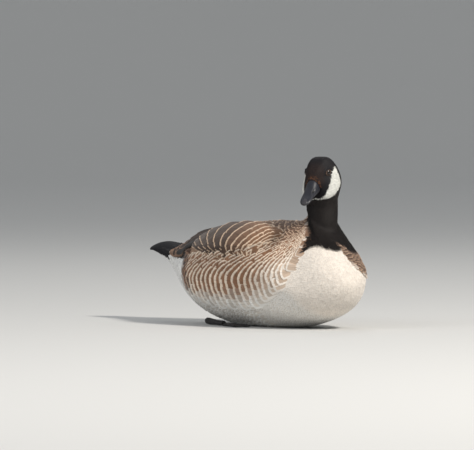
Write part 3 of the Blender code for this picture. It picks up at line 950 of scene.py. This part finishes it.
def eye_finish():
    """A dark brown iris round a black pupil, under a wet clear front."""
    material, start, shader = new_finish("eye_dark_brown", 0.12, Coat_Weight=0.35,
                                         Coat_Roughness=0.02, Specular_IOR_Level=0.35)
    reach = start.mark("reach")
    place = start.place()
    iris = reach.eased(0.40, 0.46) * (1.0 - reach.eased(0.70, 0.82))
    fibres = 0.55 + 0.9 * place.noise(1400.0, 2.0)
    feed((iris * fibres.least(1.0)).between(PUPIL, IRIS), shader, "Base Color")
    return material


def foot_finish():
    """Black leathery foot skin with small plates and dusty wear."""
    material, start, shader = new_finish("foot_black_skin", 0.5, Specular_IOR_Level=0.4)
    place = start.place()
    plates = start.node("ShaderNodeTexVoronoi", {"feature": "DISTANCE_TO_EDGE"},
                        {"Vector": place, "Scale": 620.0})
    cloud = place.noise(130.0, 3.0)
    feed(cloud.between(FOOT_DARK, FOOT_PALE), shader, "Base Color")
    feed(0.42 + 0.25 * cloud, shader, "Roughness")
    raise_bumps(plates.eased(0.0, 0.12), shader, 0.6, 0.0004)
    return material


def claw_finish():
    material, start, shader = new_finish("claw_horn", 0.35, Specular_IOR_Level=0.5)
    place = start.place()
    feed(place.noise(400.0, 3.0).between(CLAW_DARK, CLAW_PALE), shader, "Base Color")
    return material


def crowded(low, high, steps, centre, reach, share):
    """Steps from low to high, with a share of them crowded within reach of the centre."""
    fine = int(steps * share)
    coarse = np.linspace(low, high, steps - fine)
    near = np.linspace(centre - reach, centre + reach, fine)
    return np.unique(np.concatenate((coarse, near)).round(6))


def bent_sheet(columns, rows):
    """A flat grid and, for each of its points, its column and row."""
    builder = bmesh.new()
    bmesh.ops.create_grid(builder, x_segments=columns, y_segments=rows, size=0.5)
    spots = np.array([vertex.co[:2] for vertex in builder.verts]) + 0.5
    return builder, np.rint(spots * (columns, rows)).astype(int)


def finish_sheet(name, builder, points, merge):
    """Bends a grid to the points and closes it where they meet."""
    for vertex, point in zip(builder.verts, points):
        vertex.co = point
    bmesh.ops.remove_doubles(builder, verts=builder.verts, dist=merge)
    bmesh.ops.recalc_face_normals(builder, faces=builder.faces)
    return add_piece(name, build_mesh(name, builder))


def make_skin():
    """The one skin under the coat, with a socket and lids for each eye."""
    places = np.concatenate((
        np.linspace(0.0, 12.0, 90, endpoint=False),
        np.linspace(12.0, 22.0, 90, endpoint=False),
        crowded(22.0, LAST_RING, 120, 25.30, 0.75, 0.5)))
    turns = crowded(0.0, pi, 120, radians(75), radians(17), 0.45)
    angles = np.concatenate((-turns[::-1], turns[1:]))
    builder, index = bent_sheet(len(angles) - 1, len(places) + 1)
    row = np.clip(index[:, 1] - 1, 0, len(places) - 1)
    place = places[row]
    angle = angles[index[:, 0]]
    unwrap = builder.loops.layers.uv.new("OFBake")
    flat = 0.01 + 0.98 * np.stack((angle / (2.0 * pi) + 0.5, place / LAST_RING), axis=1)
    for face in builder.faces:
        for loop in face.loops:
            loop[unwrap].uv = flat[loop.vert.index]
    normal = body_normals(place, angle)
    points = body_points(place, angle) + normal * skin_height(place, angle)[:, None]
    for end, centre_place in ((0, 0.0), (len(places) + 1, LAST_RING)):
        ring = body_points(np.full(12, centre_place), np.linspace(0, 2 * pi, 12, endpoint=False))
        points[index[:, 1] == end] = ring.mean(axis=0)
    near = place > 23.0
    moved, eye_ring = lid_lift(points[near], np.zeros(near.sum()))
    points[near] += moved
    points[:, 2] = np.maximum(points[:, 2], LOWEST)
    tint, tip, _ = markings(place, angle)
    colour = blend(tint, tip, np.full(len(place), 0.25))
    # The lids are painted grey, and paler on the upper lid as a painted highlight
    lid_up = eye_frame(points[near])[-2]
    lid = 1.0 - ease(np.abs(eye_ring - LID_MIDDLE), 0.10, 0.24)
    upper = ease(lid_up, -0.002, 0.002)
    colour[near] = blend(colour[near], LID_GREY, lid * (0.45 + 0.5 * upper))
    # Painted shade: the skin inside the lids, behind the eyeball, is painted near black
    colour[near] = blend(colour[near], SOCKET_SHADE, eye_ring < 0.94)
    tints = builder.verts.layers.float_color.new("tint")
    for vertex, shade in zip(builder.verts, colour):
        vertex[tints] = (*shade, 1.0)
    skin = finish_sheet("skin", builder, points, 1e-6)
    skin.data.materials.append(skin_finish())
    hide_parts("rump", "trunk", "breast", "neck_lower", "neck_upper", "head")
    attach(skin, "root")
    return skin


def clear_of_eyes(place, angle, turn, length, margin):
    """True where a feather keeps its whole length out of the eye's opening."""
    clear = np.ones(len(place), bool)
    for share in (0.0, 0.5, 1.0):
        clear &= lid_ring(body_points(place, angle)) > margin
        if share < 1.0:
            backward, _ = feather_axes(place, angle, turn)
            place, angle = step_along(place, angle, -backward * (0.5 * length)[:, None])
            place = np.clip(place, 0.1, LAST_RING - 0.05)
    return clear


def small_feathers(name, region, sizes, finish, slot, grid=(4, 2), turn_spread=8.0, lift=1.0,
                   variety=0.12, **shape):
    """Body feathers in no rows, as far apart as the sizes say, in the colours of their spot."""
    spacing, length, width = sizes
    place, angle = scatter(region, spacing)
    count = len(place)
    turn = np.radians(RANDOM.normal(0.0, turn_spread, count))
    lengths = length * vary(count, 0.85, 1.15)
    lifts = lift * np.interp(place, COAT_PLACES, COAT_DEPTHS) * vary(count, 0.85, 1.15)
    tint, tip, share = markings(place, angle)
    if place.max() > HEAD_START:
        keep = clear_of_eyes(place, angle, turn, lengths, 1.3)
        place, angle, turn, lengths, lifts, tint, tip, share = (
            values[keep] for values in (place, angle, turn, lengths, lifts, tint, tip, share))
        count = len(place)
        lifts = lifts * (0.35 + 0.65 * ease(lid_ring(body_points(place, angle)), 1.0, 3.2))
        specks = ease(place, 27.9, 28.5) * (side_of(angle) < 105) * (vary(count, 0.0, 1.0) < 0.35)
        tip = blend(tip, FACE_SPECK, 0.8 * specks)
        share = share + 0.15 * specks
    feathers = Feathers(place, angle, turn, lengths, width * vary(count, 0.9, 1.1), lifts,
                        tint * vary(count, 1.0 - variety, 1.0 + variety)[:, None],
                        tip * vary(count, 1.0 - variety, 1.0 + variety)[:, None], share)
    return lay_feathers(name, feathers, grid, finish, slot, **shape)


def side_of(angle):
    return np.abs(degrees_round(angle))


def make_small_feathers():
    """Every feather that is in no row, in regions named for where they grow."""
    fine = plumage_finish("fine_plumage", 0.7, 0.5, 2.6, softness=0.3, sheen=0.1)
    black = plumage_finish("black_plumage", 0.6, 0.5, 2.2, streak=0.5, softness=0.5,
                           sheen=0.0, gloss=0.25)
    soft = plumage_finish("pale_plumage", 0.9, 0.5, 2.2, streak=0.16, softness=0.5, gloss=0.15)

    def face(place, angle):
        return (place > 25.4) & (place < 28.85)

    def head(place, angle):
        return (place >= 22.3) & (place <= 25.4)

    def neck(place, angle):
        return (place < 22.3) & (place > np.interp(degrees_round(angle), *BLACK_BORDER))

    def front_of_neck(place, angle):
        return neck(place, angle) & (side_of(angle) > 90)

    def back_of_neck(place, angle):
        return neck(place, angle) & (side_of(angle) <= 90)

    def left_shoulder(place, angle):
        around = degrees_round(angle)
        border = np.interp(around, *BLACK_BORDER)
        slope = np.interp(around, *SHOULDER_BORDER)
        return (place <= border) & (place > np.maximum(slope, 11.25)) & (around > 74)

    def breast(place, angle):
        border = np.interp(degrees_round(angle), *BLACK_BORDER)
        flank = np.interp(side_of(angle), *FLANK_BORDER)
        return ((place <= border) & (place > np.maximum(flank - 0.35, 9.6))
                & (side_of(angle) > 70) & ~left_shoulder(place, angle))

    def belly(place, angle):
        return (place > 6.3) & (place <= 9.8) & (side_of(angle) > 116)

    def mantle(place, angle):
        border = np.interp(degrees_round(angle), *BLACK_BORDER)
        near = (place <= border) & (place > 11.25) & (side_of(angle) <= 74)
        return near | left_shoulder(place, angle)

    def back(place, angle):
        upper, _, _ = wing_bounds(place)
        return (place <= 11.4) & (place > 6.6) & (side_of(angle) <= upper + 3.0)

    def vent(place, angle):
        return (place > 2.7) & (place <= 6.9) & (side_of(angle) > 56)

    def rump(place, angle):
        return (place > 4.1) & (place <= 6.8) & (side_of(angle) <= 62)

    small_feathers("face_feathers", face, FACE, black, "black_plumage",
                   grid=(3, 2), tip_start=0.4, tip_power=1.8, rest=0.00015)
    small_feathers("head_feathers", head, HEAD, black, "black_plumage",
                   grid=(3, 2), tip_start=0.4, tip_power=1.8, rest=0.0002)
    small_feathers("neck_front_feathers", front_of_neck, NECK, black,
                   "black_plumage", grid=(3, 2), tip_start=0.4, tip_power=1.8, lift=0.85)
    small_feathers("neck_back_feathers", back_of_neck, NECK, black,
                   "black_plumage", grid=(3, 2), tip_start=0.4, tip_power=1.8, lift=0.85)
    small_feathers("breast_feathers", breast, BREAST, soft, "breast_plumage",
                   tip_start=0.45, tip_power=2.0, turn_spread=5.0, lift=0.34, variety=0.025,
                   camber=0.05, rest=0.0002)
    small_feathers("belly_feathers", belly, BELLY_COAT, soft, "body_plumage",
                   tip_start=0.5, tip_power=2.2)
    small_feathers("mantle_feathers", mantle, MANTLE_COAT, fine, "body_plumage",
                   grid=(6, 4), tip_start=0.5, tip_power=2.6, lift=1.1)
    small_feathers("back_feathers", back, BACK, fine, "body_plumage",
                   grid=(6, 4), tip_start=0.5, tip_power=2.6)
    small_feathers("vent_feathers", vent, VENT, soft, "vent_plumage",
                   tip_start=0.5, tip_power=2.2)
    small_feathers("rump_feathers", rump, RUMP, black, "tail_plumage",
                   tip_start=0.5, tip_power=2.2)


def flank_row(lowest, side_angle):
    """A row of flank feather tips: it sweeps forward as it climbs."""
    climb = np.maximum(95.0 - side_angle, 0.0)
    return lowest + 0.0013 * climb ** 2 + 0.002 * climb


def wing_row(middle, side_angle):
    """A row of wing feather tips: upright at the rear, swept forward at the front."""
    climb = 60.0 - side_angle
    lean = (-0.70 + 1.29 * (middle - 8.7)) / 30.0
    bend = np.where(climb > 0.0, 0.00035, 0.004)
    return middle + lean * climb + bend * climb * climb


def row_places(ends, spacing):
    """Ring places of the rows, from the first to before the last."""
    rows = []
    row = ends[0]
    while row < ends[1]:
        rows.append(row)
        row += np.interp(row, *spacing)
    return rows


def row_feathers(rows, row_shape, row_angles, keep, spacing, sizes, colours):
    """Feathers with their tips in rows, for both sides of the bird.

    sizes gives lengths, widths and lifts at a few ring places.
    """
    places, angles, turns = [], [], []
    for number, row in enumerate(rows):
        trial = np.linspace(*row_angles, 200)
        line = body_points(row_shape(row, trial), -np.radians(trial))
        run = np.concatenate(([0.0], np.cumsum(np.linalg.norm(np.diff(line, axis=0), axis=1))))
        close = np.interp(row, sizes[0], sizes[2]) * spacing
        count = max(int(run[-1] / close), 1)
        at = (np.arange(count) + 0.5 * (number % 2) + 0.25) * run[-1] / count
        side_angle = np.interp(at, run, trial)
        side_angle = side_angle + RANDOM.normal(0.0, 0.5, count)
        place = row_shape(row, side_angle)
        here = body_points(place, -np.radians(side_angle))
        there = body_points(row_shape(row, side_angle + 1.0), -np.radians(side_angle + 1.0))
        normal = body_normals(place, -np.radians(side_angle))
        down_row = unit(there - here)
        backward = unit(np.cross(normal, down_row))
        straight, across = feather_axes(place, -np.radians(side_angle), np.zeros(count))
        backward = backward * np.sign(dot(backward, straight))[:, None]
        turn = np.arctan2(dot(backward, np.cross(normal, -straight)), dot(backward, straight))
        good = keep(place, side_angle)
        places.append(place[good])
        angles.append(side_angle[good])
        turns.append(turn[good])
    place = np.concatenate(places)
    side_angle = np.concatenate(angles)
    turn = np.concatenate(turns)
    count = len(place)
    length, width, lift = (np.interp(place, sizes[0], sizes[1:][k]) for k in range(3))
    both = []
    for side in (-1, 1):
        jitter = np.radians(RANDOM.normal(0.0, 2.5, count))
        tint, tip, share = colours(place, side * np.radians(side_angle))
        share = share * np.maximum(np.cos(turn), NARROWEST_FRINGE)
        both.append(Feathers(
            place + RANDOM.normal(0.0, 0.012, count), side * np.radians(side_angle),
            -side * turn + jitter, length * vary(count, 0.94, 1.06),
            width * vary(count, 0.94, 1.06), lift * vary(count, 0.9, 1.1),
            tint * vary(count, 0.84, 1.16)[:, None], tip * vary(count, 0.92, 1.08)[:, None], share))
    return Feathers(*(np.concatenate(pair) for pair in zip(*both)))


def make_flank():
    """Rows of barred flank feathers on both sides, from the vent to the breast."""
    finish = plumage_finish("flank_plumage", 0.75, 0.6, 4.5, streak=0.3, softness=0.16,
                            shaft=0.2)

    def keep(place, side_angle):
        _, lower, share = wing_bounds(place)
        edge = np.where(share > 0.0, lower - 7.0, 46.0)
        front = np.interp(side_angle, *FLANK_BORDER) - 0.15
        return (side_angle > edge) & (place < front) & (place > 6.55)

    def colours(place, angle):
        tint, tip, _ = markings(place, angle)
        share = 0.33 + 0.05 * ease(place, 9.5, 11.0)
        return tint, tip, share

    feathers = row_feathers(row_places(*FLANK_ROWS), flank_row, (44.0, 122.0), keep, 0.40,
                            FLANK_SIZES, colours)
    return lay_feathers("flank_feathers", feathers, (9, 6), finish, "body_plumage",
                        tip_start=0.6, tip_power=4.5, root_width=0.4, camber=0.04,
                        patch=0.015)


def make_wing():
    """Rows of wing coverts over both folded wings."""
    finish = plumage_finish("covert_plumage", 0.7, 0.65, 4.5, streak=0.3, softness=0.12,
                            shaft=0.3)

    def keep(place, side_angle):
        upper, lower, share = wing_bounds(place)
        return ((side_angle > upper - 1.0) & (side_angle < lower + 1.0)
                & (share > -0.03) & (place > 7.3))

    def colours(place, angle):
        front = ease(place + 0.012 * (60.0 - side_of(angle)), 8.6, 10.4)
        tint = blend(spread(COVERT, place), COVERT_FRONT, front)
        tip = blend(spread(COVERT_TIP, place), COVERT_FRONT_TIP, front)
        share = 0.17 + 0.13 * front
        return tint, tip, share

    feathers = row_feathers(row_places(*WING_ROWS), wing_row, (4.0, 84.0), keep, 0.42,
                            WING_SIZES, colours)
    piece = lay_feathers("wing_coverts", feathers, (10, 8), finish, "wing_plumage",
                         tip_start=0.65, tip_power=4.5, root_width=0.5, camber=0.035,
                         patch=0.03)
    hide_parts("wing_left", "wing_right")
    return piece


def make_flight_feathers():
    """The long feathers of the folded wing's rear: tertials over the stacked primaries."""
    finish = plumage_finish("tertial_plumage", 0.6, 0.7, 3.0, streak=0.3, softness=0.10,
                            shaft=0.5, sheen=0.05, gloss=0.3)
    groups = []
    for side in (-1, 1):
        for row, tint in ((TERTIALS, TERTIAL), (PRIMARIES, FLIGHT)):
            place, angle, turn, lift = (
                first + step * np.arange(row.count) for first, step in row[1:5])
            groups.append(Feathers(
                place, side * np.radians(angle), side * np.radians(turn),
                np.full(row.count, row.length), np.full(row.count, row.width), lift,
                spread(tint, place), spread(TERTIAL_TIP, place), np.full(row.count, 0.10)))
    feathers = Feathers(*(np.concatenate(parts) for parts in zip(*groups)))
    piece = lay_feathers("flight_feathers", feathers, (22, 8), finish, "flight_plumage",
                         tip_start=0.72, tip_power=2.8, root_width=0.7, camber=0.05,
                         rest=0.0012, patch=0.04)
    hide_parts("primaries_left", "primaries_right")
    return piece


def make_tail():
    """Tail quills in a fan, overlapping like a low roof from the middle pair outwards."""
    finish = plumage_finish("tail_quills", 0.6, 0.8, 2.4, streak=0.35, softness=0.15,
                            shaft=0.4, sheen=0.0, gloss=0.2)
    steps = np.arange(-TAIL_SIDE_COUNT, TAIL_SIDE_COUNT + 1)
    share = np.abs(steps) / TAIL_SIDE_COUNT
    angle = np.radians(steps * (TAIL_ROOF + 2.0) / TAIL_SIDE_COUNT)
    place = TAIL_PLACE + TAIL_SWEEP * share ** TAIL_SWEEP_POWER
    count = len(steps)
    upper = Feathers(place, angle, np.zeros(count), np.full(count, TAIL_LENGTH),
                     TAIL_WIDTH - TAIL_NARROWING * share, TAIL_LIFT - TAIL_LIFT_DROP * share,
                     spread(TAIL_BLACK, place), spread(TAIL_TIP, place), np.full(count, 0.1))
    lower = upper._replace(angle=pi - 0.8 * angle, place=place + 0.10,
                           lift=np.full(count, UNDERTAIL_LIFT))
    feathers = Feathers(*(np.concatenate(pair) for pair in zip(upper, lower)))
    piece = lay_feathers("tail_feathers", feathers, (18, 6), finish, "tail_plumage",
                         tip_start=0.86, tip_power=2.2, root_width=0.7, camber=0.05,
                         rest=0.0006, patch=0.05)
    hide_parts("tail")
    return piece


def make_mandible(name, table, upward, nodes):
    """One half of the bill: half-round, and the upper one has nail, nostrils and a toothed edge."""
    around_steps, along_steps = 72, 110
    builder, index = bent_sheet(around_steps, along_steps)
    columns = np.array(table)
    length_share = np.clip((index[:, 1] - 1) / (along_steps - 2), 0.0, 1.0)
    length_share = 1.0 - (1.0 - length_share) ** 1.35
    forward = columns[0, 0] + (columns[-1, 0] - columns[0, 0]) * length_share
    knots = np.linspace(columns[0, 0], columns[-1, 0], 60)
    window = np.hanning(9)[1:-1] / np.hanning(9)[1:-1].sum()
    smooth = []
    for column in columns.T[1:]:
        line = np.pad(np.interp(knots, columns[:, 0], column), 3, "edge")
        smooth.append(np.convolve(line, window, "valid"))
    culmen, cutting, half_width = (np.interp(forward, knots, line) for line in smooth)
    tip_share = np.clip((forward - TIP_START) / (columns[-1, 0] - TIP_START), 0.0, 1.0)
    rounded = np.sqrt(np.maximum(1.0 - tip_share ** 2.4, 0.0))
    widest_tip = np.interp(TIP_START, knots, smooth[2])
    half_width = np.where(forward > TIP_START, widest_tip * rounded, half_width)
    turn = index[:, 0] / around_steps
    arc = np.clip(turn / BILL_ARC_SHARE, 0.0, 1.0) * pi
    under = np.clip((turn - BILL_ARC_SHARE) / (1.0 - BILL_ARC_SHARE), 0.0, 1.0)
    crest, flat = (culmen, cutting) if upward else (cutting, culmen)
    on_arc = turn <= BILL_ARC_SHARE
    side = np.where(on_arc, half_width * np.cos(arc), half_width * (2.0 * under - 1.0))
    rise = np.maximum(np.sin(arc), 0.0) ** BILL_ROUNDNESS
    height = np.where(on_arc, flat + (crest - flat) * rise, flat)
    inward = np.zeros(len(side))
    wear = np.zeros(len(side))
    hollow = np.zeros(len(side))
    if upward:
        pinch = np.exp(-((forward - PINCH_FORWARD) / PINCH_LENGTH) ** 2)
        side = side * (1.0 - PINCH_SHARE * pinch * np.abs(np.sin(2.0 * arc)))
        off_nail = np.hypot((forward - NAIL_FRONT) / NAIL_LENGTH, side / NAIL_HALF_WIDTH)
        # The nail's patch: raised a little, and painted paler grey by the horn's finish as a painted
        # highlight
        wear = (1.0 - ease(off_nail, 0.80, 1.0)) * on_arc
        height = height + NAIL_RISE * wear
        slant = height + NOSTRIL_DROP + NOSTRIL_SLANT * (forward - NOSTRIL_FORWARD)
        # The nostril's hollow: sunk into the horn, and painted near black by its finish as painted
        # shade
        hollow = bump_at(forward, slant, NOSTRIL_FORWARD, 0.0, *NOSTRIL_SIZE) * on_arc
        inward = NOSTRIL_DEPTH * hollow
        rim = bump_at(forward, slant, NOSTRIL_FORWARD, NOSTRIL_RIM_OFFSET, *NOSTRIL_RIM_SIZE)
        height = height + NOSTRIL_RIM_RISE * rim * on_arc
        teeth = np.sin(2.0 * pi * forward / TOOTH_SPACING) * (np.abs(side) > 0.93 * half_width)
        height = height + TOOTH_DEPTH * teeth * (forward < TIP_START)
    side = side - np.sign(side) * inward
    ends = (index[:, 1] == 0) | (index[:, 1] == along_steps)
    side = np.where(ends, 0.0, side)
    height = np.where(ends, 0.5 * (crest + flat), height)
    points = from_head_frame(np.stack((forward, side, height), axis=1))
    # The cutting edge's line, painted paler by the horn's finish as a painted highlight
    edge = bump_at(side, height, half_width * np.sign(side), flat, 0.0012, 0.0010)
    layers = [builder.verts.layers.float.new(mark) for mark in ("wear", "hollow", "edge")]
    for vertex, *amounts in zip(builder.verts, wear, hollow, edge):
        for layer, amount in zip(layers, amounts):
            vertex[layer] = float(amount)
    piece = finish_sheet(name, builder, points, 1e-6)
    piece.data.materials.append(bill_finish(name + "_horn"))
    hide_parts(*nodes)
    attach(piece, "root")
    return piece


def make_eye(name, side, finish):
    """An eyeball with the clear front bulging a little over the iris."""
    builder = bmesh.new()
    bmesh.ops.create_uvsphere(builder, u_segments=48, v_segments=32, radius=EYE_RADIUS - 0.0001)
    reach = builder.verts.layers.float.new("reach")
    for vertex in builder.verts:
        polar = vertex.co.normalized().z
        off_axis = (1.0 - polar * polar) ** 0.5 if polar > 0.0 else 1.0
        vertex[reach] = off_axis
        vertex.co *= 1.0 + 0.045 * max(0.0, 1.0 - (off_axis / 0.75) ** 2)
    gaze = Vector((sin(GAZE_AHEAD) * cos(GAZE_UP), side * cos(GAZE_AHEAD) * cos(GAZE_UP),
                   sin(GAZE_UP)))
    centre = Vector(from_head_frame(np.array((0.0, side * EYE_SIDE, EYE_RAISE))))
    head = Matrix.Rotation(HEAD_TURN, 4, "Z") @ Matrix.Rotation(-HEAD_PITCH, 4, "Y")
    turn = head @ gaze.to_track_quat("Z", "Y").to_matrix().to_4x4()
    bmesh.ops.transform(builder, matrix=Matrix.Translation(centre) @ turn, verts=builder.verts)
    piece = add_piece(name + "_ball", build_mesh(name + "_ball", builder))
    piece.data.materials.append(finish)
    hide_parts(name)
    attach(piece, "root")


def make_feet():
    """The CAD's shanks and webbed feet keep their shape and get a scaly black skin."""
    finish = foot_finish()
    for name in ("leg_left", "leg_right", "foot_left", "foot_right"):
        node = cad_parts[name]
        node.data.materials.clear()
        node.data.materials.append(finish)


def make_claws():
    """A small curved claw on the end of each toe, touching the ground with its point."""
    sides, steps = 12, 10
    builder = bmesh.new()
    for side in (-1, 1):
        for toe_angle, toe_length in zip(TOE_ANGLES, TOE_LENGTHS):
            rings = []
            for step in range(steps + 1):
                share = step / steps
                radius = CLAW_RADIUS * (1.0 - share) ** 0.7 + 0.00008
                reach = toe_length - CLAW_ROOT + CLAW_LENGTH * share
                middle = max(CLAW_ROOT * (1.0 - share * share), radius + LOWEST)
                ring = []
                for k in range(sides):
                    turn = 2.0 * pi * k / sides
                    aside = 0.8 * radius * cos(turn)
                    x = reach * cos(toe_angle) - aside * sin(toe_angle)
                    y = reach * sin(toe_angle) + aside * cos(toe_angle)
                    spot = (FOOT_X + x, side * (FOOT_Y + y), middle + radius * sin(turn))
                    ring.append(builder.verts.new(spot))
                rings.append(ring)
            for ring, after in zip(rings, rings[1:]):
                for k in range(sides):
                    builder.faces.new((ring[k], ring[k - 1], after[k - 1], after[k]))
            builder.faces.new(rings[0])
            builder.faces.new(rings[-1])
    bmesh.ops.recalc_face_normals(builder, faces=builder.faces)
    piece = add_piece("claws", build_mesh("claws", builder))
    piece.data.materials.append(claw_finish())
    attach(piece, "root")


def camera_axes():
    """The way from the object to the camera, the picture's right and its up."""
    back = Vector((sin(CAMERA_AZIMUTH) * cos(CAMERA_ELEVATION),
                   -cos(CAMERA_AZIMUTH) * cos(CAMERA_ELEVATION), sin(CAMERA_ELEVATION)))
    right = Vector((cos(CAMERA_AZIMUTH), sin(CAMERA_AZIMUTH), 0.0))
    return back, right, back.cross(right)


def make_camera():
    back, right, up = camera_axes()
    data = bpy.data.cameras.new("camera")
    data.sensor_width = SENSOR_WIDTH
    data.lens = SENSOR_WIDTH * PIXELS_PER_METRE * CAMERA_DISTANCE / FRAME_WIDTH
    data.clip_end = 100.0
    camera = bpy.data.objects.new("camera", data)
    bpy.context.scene.collection.objects.link(camera)
    aside = (0.5 * FRAME_WIDTH - AIM_PIXEL[0]) / PIXELS_PER_METRE
    above = (AIM_PIXEL[1] - 0.5 * FRAME_HEIGHT) / PIXELS_PER_METRE
    camera.location = (Vector((0.0, 0.0, AIM_HEIGHT)) + right * aside + up * above
                       + back * CAMERA_DISTANCE)
    camera.rotation_mode = "QUATERNION"
    camera.rotation_quaternion = back.to_track_quat("Z", "Y")
    bpy.context.scene.camera = camera


def area_light(name, azimuth, elevation, distance, size, power, colour):
    """A soft panel aimed at the bird, unseen by the camera."""
    data = bpy.data.lights.new(name, "AREA")
    data.shape = "DISK"
    data.size = size
    data.energy = power
    data.color = colour
    light = bpy.data.objects.new(name, data)
    a, e = radians(azimuth), radians(elevation)
    way = Vector((sin(a) * cos(e), -cos(a) * cos(e), sin(e)))
    light.location = LIGHT_AIM + way * distance
    light.rotation_mode = "QUATERNION"
    light.rotation_quaternion = way.to_track_quat("Z", "Y")
    light.visible_camera = False
    bpy.context.scene.collection.objects.link(light)


def make_studio():
    """A pale floor that curves up far away, a pale sky, and three soft panels."""
    builder = bmesh.new()
    profile = [(0.0, 0.0), (FLOOR_REACH, 0.0)]
    for step in range(1, COVE_STEPS + 1):
        turn = 0.5 * pi * step / COVE_STEPS
        profile.append((FLOOR_REACH + COVE_RADIUS * sin(turn), COVE_RADIUS * (1.0 - cos(turn))))
    line = [builder.verts.new((x, 0.0, z)) for x, z in profile]
    edges = [builder.edges.new(pair) for pair in zip(line, line[1:])]
    bmesh.ops.spin(builder, geom=line + edges, cent=(0, 0, 0), axis=(0, 0, 1),
                   angle=2.0 * pi, steps=48, use_merge=True)
    bmesh.ops.remove_doubles(builder, verts=builder.verts, dist=1e-4)
    bmesh.ops.recalc_face_normals(builder, faces=builder.faces)
    floor = add_piece("floor", build_mesh("floor", builder))
    material, _, _ = new_finish("floor_paper", 0.9, Base_Color=FLOOR_PAPER)
    floor.data.materials.append(material)
    world = bpy.data.worlds.new("studio")
    world.use_nodes = True
    background = world.node_tree.nodes["Background"]
    background.inputs["Color"].default_value = SKY
    background.inputs["Strength"].default_value = SKY_STRENGTH
    bpy.context.scene.world = world
    bpy.context.scene.view_settings.view_transform = "Standard"
    for name, settings in LIGHTS.items():
        area_light(name, *settings)


make_camera()
make_studio()
make_skin()
make_small_feathers()
make_flank()
make_wing()
make_flight_feathers()
make_tail()
make_mandible("upper_bill", BILL_UPPER, True, ["bill_upper"])
make_mandible("lower_bill", BILL_LOWER, False, ["bill_lower"])
eye_material = eye_finish()
make_eye("eye_left", 1, eye_material)
make_eye("eye_right", -1, eye_material)
make_feet()
make_claws()
